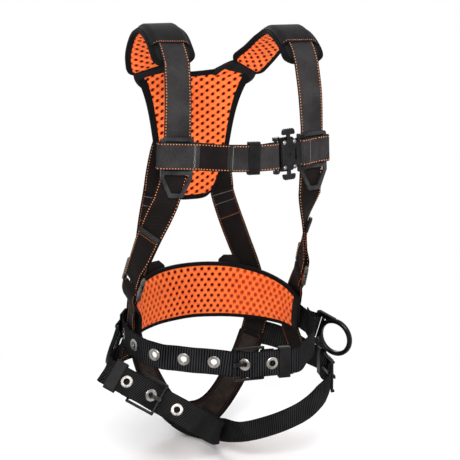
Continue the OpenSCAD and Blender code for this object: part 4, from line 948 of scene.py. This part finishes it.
# places in from the edge, a pad's thickness there, rows under the tape, how deep the mesh's holes sink,
# how far a pad's stations lie apart, and the filling's pressure and the frames that it presses for
EDGE_STEPS = np.array([0, 1.5, 3.5, 6, 8.5, 12])
BOUND_T, TAPE_BAND, HOLE_DEEP, PAD_STATION, PRESSURE, FRAMES = 4, 4, 1.6, 6, 4, 20
# the yoke panel's rows and columns, its width at the shoulder pad, how far its sides bow out, and the
# shares of its length and width where its mesh starts and ends
YOKE_ROWS, YOKE_COLS, YOKE_W, YOKE_BOW, YOKE_MESH = 37, 61, 52, 5, (0.45, 0.11, 0.84)
# how far a cover's sides lie inside the pad's, its height over the strap, and its fall beside it over a width
COVER_IN, COVER_UP, COVER_FALL, COVER_FALL_W = 3, 0.4, 6.8, 11


def across_places(half, inner):
    """Places across a pad from edge to edge: close together in the tape's band, even between."""
    edge = half - EDGE_STEPS
    mid = np.linspace(-edge[-1], edge[-1], inner + 2)[1:-1]
    return np.r_[-edge, mid, edge[::-1]]


def pad_faces(rows, cols):
    """Quads of the inner grid, the outer grid and the rim between them."""
    i, j = np.meshgrid(np.arange(rows - 1), np.arange(cols - 1), indexing="ij")
    a = (i * cols + j).ravel()
    inner = np.stack([a, a + cols, a + cols + 1, a + 1], 1)
    outer = inner[:, ::-1] + rows * cols
    rim = np.r_[np.arange(cols), np.arange(1, rows) * cols + cols - 1,
                (rows - 1) * cols + np.arange(cols - 2, -1, -1), np.arange(rows - 2, 0, -1) * cols]
    nxt = np.roll(rim, -1)
    edge = np.stack([rim, nxt, nxt + rows * cols, rim + rows * cols], 1)
    return inner, outer, edge


def from_rim(rows, cols):
    """How many rows in from the nearest edge each place of a grid lies."""
    i, j = np.indices((rows, cols))
    return np.minimum(np.minimum(i, rows - 1 - i), np.minimum(j, cols - 1 - j))


def swollen(points, faces, held, cap):
    """A sewn pad's points, pressed out by its filling in a cloth simulation, except where held is set."""
    obj = piece("swelling", points, faces, TAPE, body=None)
    obj.vertex_groups.new(name="held").add(np.flatnonzero(held).tolist(), 1.0, "REPLACE")
    cloth = obj.modifiers.new("cloth", "CLOTH").settings
    cloth.vertex_group_mass = "held"
    cloth.use_pressure = True
    cloth.uniform_pressure_force = PRESSURE
    cloth.effector_weights.gravity = 0
    for step in range(1, FRAMES + 1):
        bpy.context.scene.frame_set(step)
    seen = obj.evaluated_get(bpy.context.evaluated_depsgraph_get()).to_mesh()
    move = listed(seen.vertices, "co", 3) / MM - points
    far = np.linalg.norm(move, axis=1, keepdims=True)
    bpy.context.scene.frame_set(1)
    bpy.data.objects.remove(obj)
    return points + move * np.minimum(1, cap / np.maximum(far, 1e-6))


def mesh_hole(x, y, slope=HOLE_LEAN):
    """How deep a place on the mesh, in millimetres, lies in a hole: 1 at its middle and 0 outside."""
    dx = (x + np.floor(y / HOLE_ROW) % 2 * HOLE_PITCH / 2) % HOLE_PITCH - HOLE_PITCH / 2
    dy = y % HOLE_ROW - HOLE_ROW / 2
    return 1 - eased((np.hypot((dx - slope * dy) / HOLE_W, dy / HOLE_H) - 0.5) / 0.7)


def finer(n, k):
    """Row numbers of a finer grid: as before in the tape's band, k to a span between."""
    band = len(EDGE_STEPS) - 1
    mid = band + np.arange((n - 1 - 2 * band) * k + 1) / k
    return np.r_[np.arange(band), mid, n - np.arange(band, 0, -1)]


def faced(obj, mat, on_face):
    """A second cloth on a piece's first faces where on_face is set."""
    obj.data.materials.append(mat)
    index = np.zeros(len(obj.data.polygons), int)
    index[:len(on_face)] = on_face
    obj.data.polygons.foreach_set("material_index", index)


def cushion(name, mid, out, thick, uv, node, fill, mesh=MESH, slope=HOLE_LEAN, swell=3.5, dark=(0, 0),
            thread=None, cloth=CLOTH, band=TAPE_BAND, slot="mesh_orange"):
    """A sewn pad from a grid of its middle surface: pressed out by its filling on the wearer's side."""
    rows, cols = thick.shape
    half = (thick / 2)[..., None]
    pts = np.stack([mid - out * half, mid + out * half]).reshape(-1, 3)
    if swell:
        depth = from_rim(rows, cols).ravel()
        pts = swollen(pts, np.vstack(pad_faces(rows, cols)), np.r_[depth <= band, depth >= 0], swell)
    # a finer grid of places and weave, on curves through the coarse one's rows and columns
    grid = np.concatenate([pts.reshape(2, rows, cols, 3), np.stack([uv, uv])], 3)
    for k in (rows, cols):
        grid = np.stack([curve_at(g.reshape(k, -1), finer(k, 3)).reshape(-1, g.shape[1], 5).swapaxes(0, 1)
                         for g in grid])
    rows, cols = grid.shape[1:3]
    inner, outer, edge = pad_faces(rows, cols)
    x, y = grid[0, ..., 3], grid[0, ..., 4]
    plain = (y < y.min() + dark[0]) | (y > y.max() - dark[1])
    if mesh:
        deep = mesh_hole(x, y, slope) * (from_rim(rows, cols) > band) * ~plain
        grid[0, ..., :3] += unit(grid[1, ..., :3] - grid[0, ..., :3]) * deep[..., None] * HOLE_DEEP
    faces = np.vstack([inner, outer, edge])
    obj = piece(name, grid[..., :3], faces, mesh or cloth, grid[..., 3:] * MM, smooth_angle=80)
    faced(obj, cloth, np.r_[plain.ravel()[inner].all(1), np.ones(len(outer) + len(edge), bool)])
    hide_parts(node)
    binding("tape_" + name, obj, faces, from_rim(rows, cols).ravel(), band)
    if thread:
        topstitched("thread_" + name, grid[..., :3], thread, obj)


def topstitched(name, grid, thread, pad):
    """Rows of stitches along a pad's two long edges, on both its faces."""
    way, rows = unit(grid[1] - grid[0]), []
    for face, col in ((0, 3), (0, -4), (1, 3), (1, -4)):
        far = lengths(grid[face, :, col])
        t = np.arange(2, far[-1], 3.6)
        out = unit(between(t, far, way[:, col])) * (2 * face - 1)
        places = between(t, far, grid[face, :, col]) + out * 0.9
        rows.append((places, unit(np.gradient(places, axis=0)), out))
    beads(name, rows, (2.6, 1.4, 1.0), thread, pad)


def binding(name, pad, faces, depth, wide, rise=0.8, rim_rise=0.45, sink=0.3):
    """Tape over a pad's edge: the outer band of the pad's own faces, raised by the tape's thickness."""
    depth = np.r_[depth, depth]
    band = faces[depth[faces].max(1) <= wide]
    used, place = np.unique(band, return_inverse=True)
    faces = place.reshape(band.shape).tolist()
    co, no = listed(pad.data.vertices, "co", 3) / MM, listed(pad.data.vertices, "normal", 3)
    top = co[used] + no[used] * np.where(depth[used] == wide, rim_rise, rise)[:, None]
    low = co[used] - no[used] * sink
    edges = dict.fromkeys((a, b) for f in faces for a, b in zip(f, f[1:] + f[:1]))
    skirt = [[b, a, a + len(used), b + len(used)] for a, b in edges if (b, a) not in edges]
    uv = np.zeros((len(co), 2), np.float32)
    uv[listed(pad.data.loops, "vertex_index", 1, int)[:, 0]] = listed(pad.data.uv_layers["web"].data, "uv", 2)
    piece(name, np.r_[top, low], faces + skirt, TAPE, np.r_[uv[used], uv[used]], parent=pad, smooth_angle=70)


def crown(edge_mm, full):
    """Thickness of a pad at a distance from its edge: bound thin, then rising to its full crown."""
    return BOUND_T + (full - BOUND_T) * eased((np.asarray(edge_mm) - 2.5) / 15) ** 0.8


def swept_pad(name, line, node, fill, inner, corner, tuck, **faces):
    """A pad along a line of place, outward direction, width and thickness."""
    line = np.asarray(line, float)
    P = refined(line, PAD_STATION)
    _, n, b, run = axes(P)
    # stations close together at both ends, for the tape there
    total = run[-1]
    even = np.linspace(EDGE_STEPS[-1], total - EDGE_STEPS[-1], max(6, int(total / PAD_STATION)))
    s = np.r_[EDGE_STEPS[:-1], even, total - EDGE_STEPS[-2::-1]]
    p, n, b = between(s, run, P[:, :3]), unit(between(s, run, n)), unit(between(s, run, b))
    far = lengths(line[:, :3])
    wide, full = between(s, far * total / far[-1], line[:, 6:]).T
    end = np.minimum(s, total - s)
    short = np.clip(corner - end, 0, corner)
    wide = wide - 2 * (corner - np.sqrt(corner ** 2 - short ** 2))
    X = np.stack([across_places(w / 2, inner) for w in wide])
    edge = np.minimum(wide[:, None] / 2 - abs(X), end[:, None] * tuck + 99 * (1 - tuck))
    mid = p[:, None] + b[:, None] * X[..., None]
    uv = np.dstack(np.broadcast_arrays(X, s[:, None] - total / 2))
    cushion(name, mid, n[:, None], crown(edge, full[:, None]), uv, node, fill, **faces)


def back_at(U, V):
    """Half width of the back pad at V, its foot and neck lines at U, and its middle surface at (U, V)."""
    half = 66 + 22 * V ** 1.4 + 16 * V ** 5 - 26 * (1 - V) ** 6
    low = 214 + 14 * U ** 4
    high = 446 + 14 * abs(U) ** 1.6 - 26 * abs(U) ** 6
    Y = 135 - 9 * U ** 2 * (0.4 + V) - 14 * V ** 4 * abs(U) ** 1.5
    return half, low, high, np.stack([U * half, Y, low + (high - low) * V], -1)


def facing(mid):
    """Directions square to a grid of places, away from the wearer."""
    out = unit(np.cross(np.gradient(mid, axis=1), np.gradient(mid, axis=0)))
    return out * np.sign(out[..., 1:2])


def back_pad():
    """The pad between the shoulder blades, with its rounded foot and hollowed neck."""
    steps = EDGE_STEPS / 240
    v = np.r_[steps, np.linspace(steps[-1], 1 - steps[-1], 42)[1:-1], 1 - steps[::-1]]
    half = back_at(0.0, v)[0]
    X = np.stack([across_places(w, 26)[::-1] for w in half])
    half, low, high, mid = back_at(X / half[:, None], np.broadcast_to(v[:, None], X.shape))
    Z = mid[..., 2]
    edge = np.minimum(half - abs(X), np.minimum(Z - low, high - Z))
    cushion("pad_back", mid, facing(mid), crown(edge, 12), np.dstack([X, Z]), "back_pad", 0.6)


def yoke_panel(side):
    """The panel sewn over the ends of a shoulder pad and the back pad: mesh below and a dark band above."""
    k = 1 if side == "left" else -1
    w, t = np.linspace(0, 1, YOKE_COLS)[None, :, None], np.linspace(0, 1, YOKE_ROWS)[:, None, None]
    across = axes(OVER[side])[2][-2]
    across = across * (1 if across[0] * k > 0 else -1)
    above = OVER[side][-2, :3] + across * (w - 0.5) * YOKE_W
    below = back_at(k * (0.38 + 0.6 * w[..., 0]), 0.955 - 0.035 * w[..., 0])[3]
    mid = above * (1 - t) + below * t
    mid = mid + unit(mid[:, -1:] - mid[:, :1]) * (2 * w - 1) * YOKE_BOW * np.sin(math.pi * t)
    half = (3.2 + 1.8 * eased(np.minimum(w, 1 - w) * 6)) * (0.8 + 0.2 * eased(np.minimum(t, 1 - t) * 8))
    top, first, last = YOKE_MESH
    meshed = ((t > top) & (w > first) & (w < last))[..., 0]
    if k < 0:
        mid, half, meshed = mid[:, ::-1], half[:, ::-1], meshed[:, ::-1]
    out = facing(mid)
    x, y = mid[..., 0], mid[..., 2]
    inner = mid - out * half + out * (mesh_hole(x, y) * meshed)[..., None] * HOLE_DEEP
    uv = np.dstack([x, y]) * MM
    faces = pad_faces(*meshed.shape)
    obj = piece("panel_yoke_" + side, np.stack([inner, mid + out * half]), np.vstack(faces), CLOTH,
                np.stack([uv, uv]), parent=bpy.data.objects["pad_shoulder_" + side], smooth_angle=60)
    faced(obj, MESH, meshed.ravel()[faces[0]].all(1))


def shoulder_cover(side):
    """Cover over the strap: held down on the pad along both sides and lifted over the webbing between."""
    P = refined(OVER[side][6:-2], STATION)
    x = np.linspace(COVER_IN - SHOULDER_PAD_W / 2, SHOULDER_PAD_W / 2 - COVER_IN, 27)
    fall = COVER_FALL * eased((abs(x) - WEB_W / 2 - 0.5) / COVER_FALL_W)
    up = SHOULDER_UP + WEB_T / 2 + COVER_UP + COVER_T / 2 - fall
    section = np.r_[np.c_[x, up + COVER_T / 2], np.c_[x, up - COVER_T / 2][::-1]]
    obj, pts = swept("cover_shoulder_" + side, P, section, CLOTH)
    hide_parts("shoulder_cover_" + side)
    # topstitching along the front edge
    ahead = between(np.linspace(2, len(x) - 3, 16), np.arange(len(x)), pts[1, :len(x)])
    out = np.broadcast_to(axes(P)[1][1], ahead.shape)
    along = unit(np.gradient(ahead, axis=0))
    beads("thread_cover_" + side, [(ahead, along, out)], (2.2, 1.2, 0.9), THREAD, obj)


back_pad()
for side in SIDES:
    i = np.arange(len(OVER[side]))
    wide = SHOULDER_PAD_W * (0.84 + 0.16 * np.minimum(1, (np.minimum(i, i[::-1]) + 0.5) / 2.5))
    rows = np.c_[OVER[side], wide, np.full(len(i), SHOULDER_PAD_T - 1.5)]
    swept_pad("pad_shoulder_" + side, rows, "shoulder_pad_" + side, 0.55, 14, 18, 1, swell=2)
    yoke_panel(side)
    shoulder_cover(side)
waist = [[150, -14, 16, 1, -0.06, 0, 62, 8], [150, 10, 19, 1, 0.06, 0, 70, 12],
         [142, 44, 26, 0.92, 0.38, 0, 80, 14], [118, 82, 33, 0.74, 0.67, 0, 92, 14],
         [78, 112, 39, 0.45, 0.9, 0, 100, 14], [40, 125, 42, 0.2, 0.98, 0, 103, 14],
         [0, 130, 43, 0, 1, 0, 103, 14]]
waist_path = smooth(both_sides(waist), 4)
waist_path[:, 7] -= 2
swept_pad("pad_waist", waist_path, "waist_pad", 0.6, 22, 10, 1, mesh=WAIST_MESH, slope=WAIST_LEAN,
          dark=(20, 20), band=3)
sling = [[113, 112, -44, 0.6, 0.78, -0.15, 47, 5], [100, 116, -83, 0.4, 0.85, -0.35, 47, 5.5],
         [82, 121, -123, 0.28, 0.85, -0.45, 47, 6], [56, 128, -168, 0.18, 0.85, -0.5, 48, 6],
         [30, 131, -194, 0.1, 0.85, -0.5, 52, 6], [0, 132, -203, 0, 0.85, -0.5, 56, 6]]
swept_pad("pad_seat_sling", smooth(both_sides(sling), 4), "seat_sling", 0.3, 12, 6, 0, mesh=None, swell=0,
          thread=RUST, cloth=SEAT, slot="cover_cloth")


# ---- stage

def shows_ground(tree):
    """1 for rays that show the ground: straight to the camera, mirrored or through glass."""
    path = add(tree, "LightPath").outputs
    first = add(tree, "Math MAXIMUM", {0: path["Is Camera Ray"], 1: path["Is Glossy Ray"]})
    return add(tree, "Math MAXIMUM", {0: first, 1: path["Is Transmission Ray"]})


# the photograph's view in degrees and metres, and the metres to its pixels at the part's middle
AZIMUTH, ELEVATION, AWAY, AIM = -22, 12, 2.5, (0.0195, -0.0079, 0.182)
PIXEL, PIXELS, SENSOR = 0.00175, 460, 36
# soft lamps: place, size in metres and power in watts; they point at LIT, and the world's light is SKY
LAMPS = {"key": ((-1.2, -2.6, 2.0), 1.4, 85), "fill": ((2.2, -1.8, 1.2), 2.0, 30),
         "top": ((0.2, 0.4, 2.8), 2.0, 26), "rear": ((0.6, 2.4, 1.6), 1.8, 34)}
LIT, WHITE, SKY, SKY_POWER = (0, 0, 0.15), (1, 1, 1, 1), (0.95, 0.95, 0.96, 1), 0.4
# the floor's corners, how far it lies below the part, and where its shadow has faded to white
FLOOR, FLOOR_GAP, FADE = ((-4, -4), (4, -4), (4, 6), (-4, 6)), 0.002, (0.25, 0.75)


def placed(name, data, place, way):
    """A camera or lamp in its place, looking along way."""
    obj = bpy.data.objects.new(name, data)
    bpy.context.scene.collection.objects.link(obj)
    obj.location = place
    obj.rotation_euler = way.to_track_quat("-Z", "Y").to_euler()
    return obj


def studio():
    """Camera at the photograph's angle, soft lamps and a pale floor."""
    scene, az, el = bpy.context.scene, math.radians(AZIMUTH), math.radians(ELEVATION)
    back = Vector((math.sin(az) * math.cos(el), -math.cos(az) * math.cos(el), math.sin(el)))
    scene.camera = placed("camera", bpy.data.cameras.new("camera"), Vector(AIM) + back * AWAY, -back)
    scene.camera.data.sensor_width = SENSOR
    scene.camera.data.lens = AWAY / PIXEL * SENSOR / PIXELS
    for name, (place, size, power) in LAMPS.items():
        lamp = bpy.data.lights.new(name, "AREA")
        lamp.size, lamp.energy = size, power
        placed(name, lamp, place, Vector(LIT) - Vector(place))
    scene.world = bpy.data.worlds.new("studio")
    scene.world.use_nodes = True
    tree = scene.world.node_tree
    light = tree.nodes["Background"]
    feed(light, {0: SKY, 1: SKY_POWER})
    seen = shows_ground(tree)
    ground = add(tree, "Background", {0: WHITE, 1: 1.0})
    both = add(tree, "MixShader", {0: seen, 1: light, 2: ground})
    feed(tree.nodes["World Output"], {0: both})
    mesh = bpy.data.meshes.new("floor")
    mesh.from_pydata([(x, y, cad_low.z - FLOOR_GAP) for x, y in FLOOR], [], [(0, 1, 2, 3)])
    floor = bpy.data.objects.new("floor", mesh)
    scene.collection.objects.link(floor)
    # white paint that takes the shadow near the object, and fades to an even white further out
    mat, tree, bsdf = start("studio_floor_paint", Roughness=0.9, Specular_IOR_Level=0.0)
    feed(bsdf, {"Base Color": srgb("#fbfbfb")})
    place = add(tree, "NewGeometry")
    flat = add(tree, "VectorMath MULTIPLY", {0: place, 1: (1, 1, 0)})
    away = add(tree, "VectorMath LENGTH", {0: flat})
    fade = add(tree, "MapRange", {0: away, 1: FADE[0], 2: FADE[1]}, interpolation_type="SMOOTHSTEP")
    share = add(tree, "Math MULTIPLY", {0: fade, 1: shows_ground(tree)})
    glow = add(tree, "Emission", {0: WHITE, 1: 1.0})
    both = add(tree, "MixShader", {0: share, 1: bsdf, 2: glow})
    feed(tree.nodes["Material Output"], {0: both})
    mesh.materials.append(mat)


studio()
bpy.context.scene.view_settings.view_transform = "Standard"
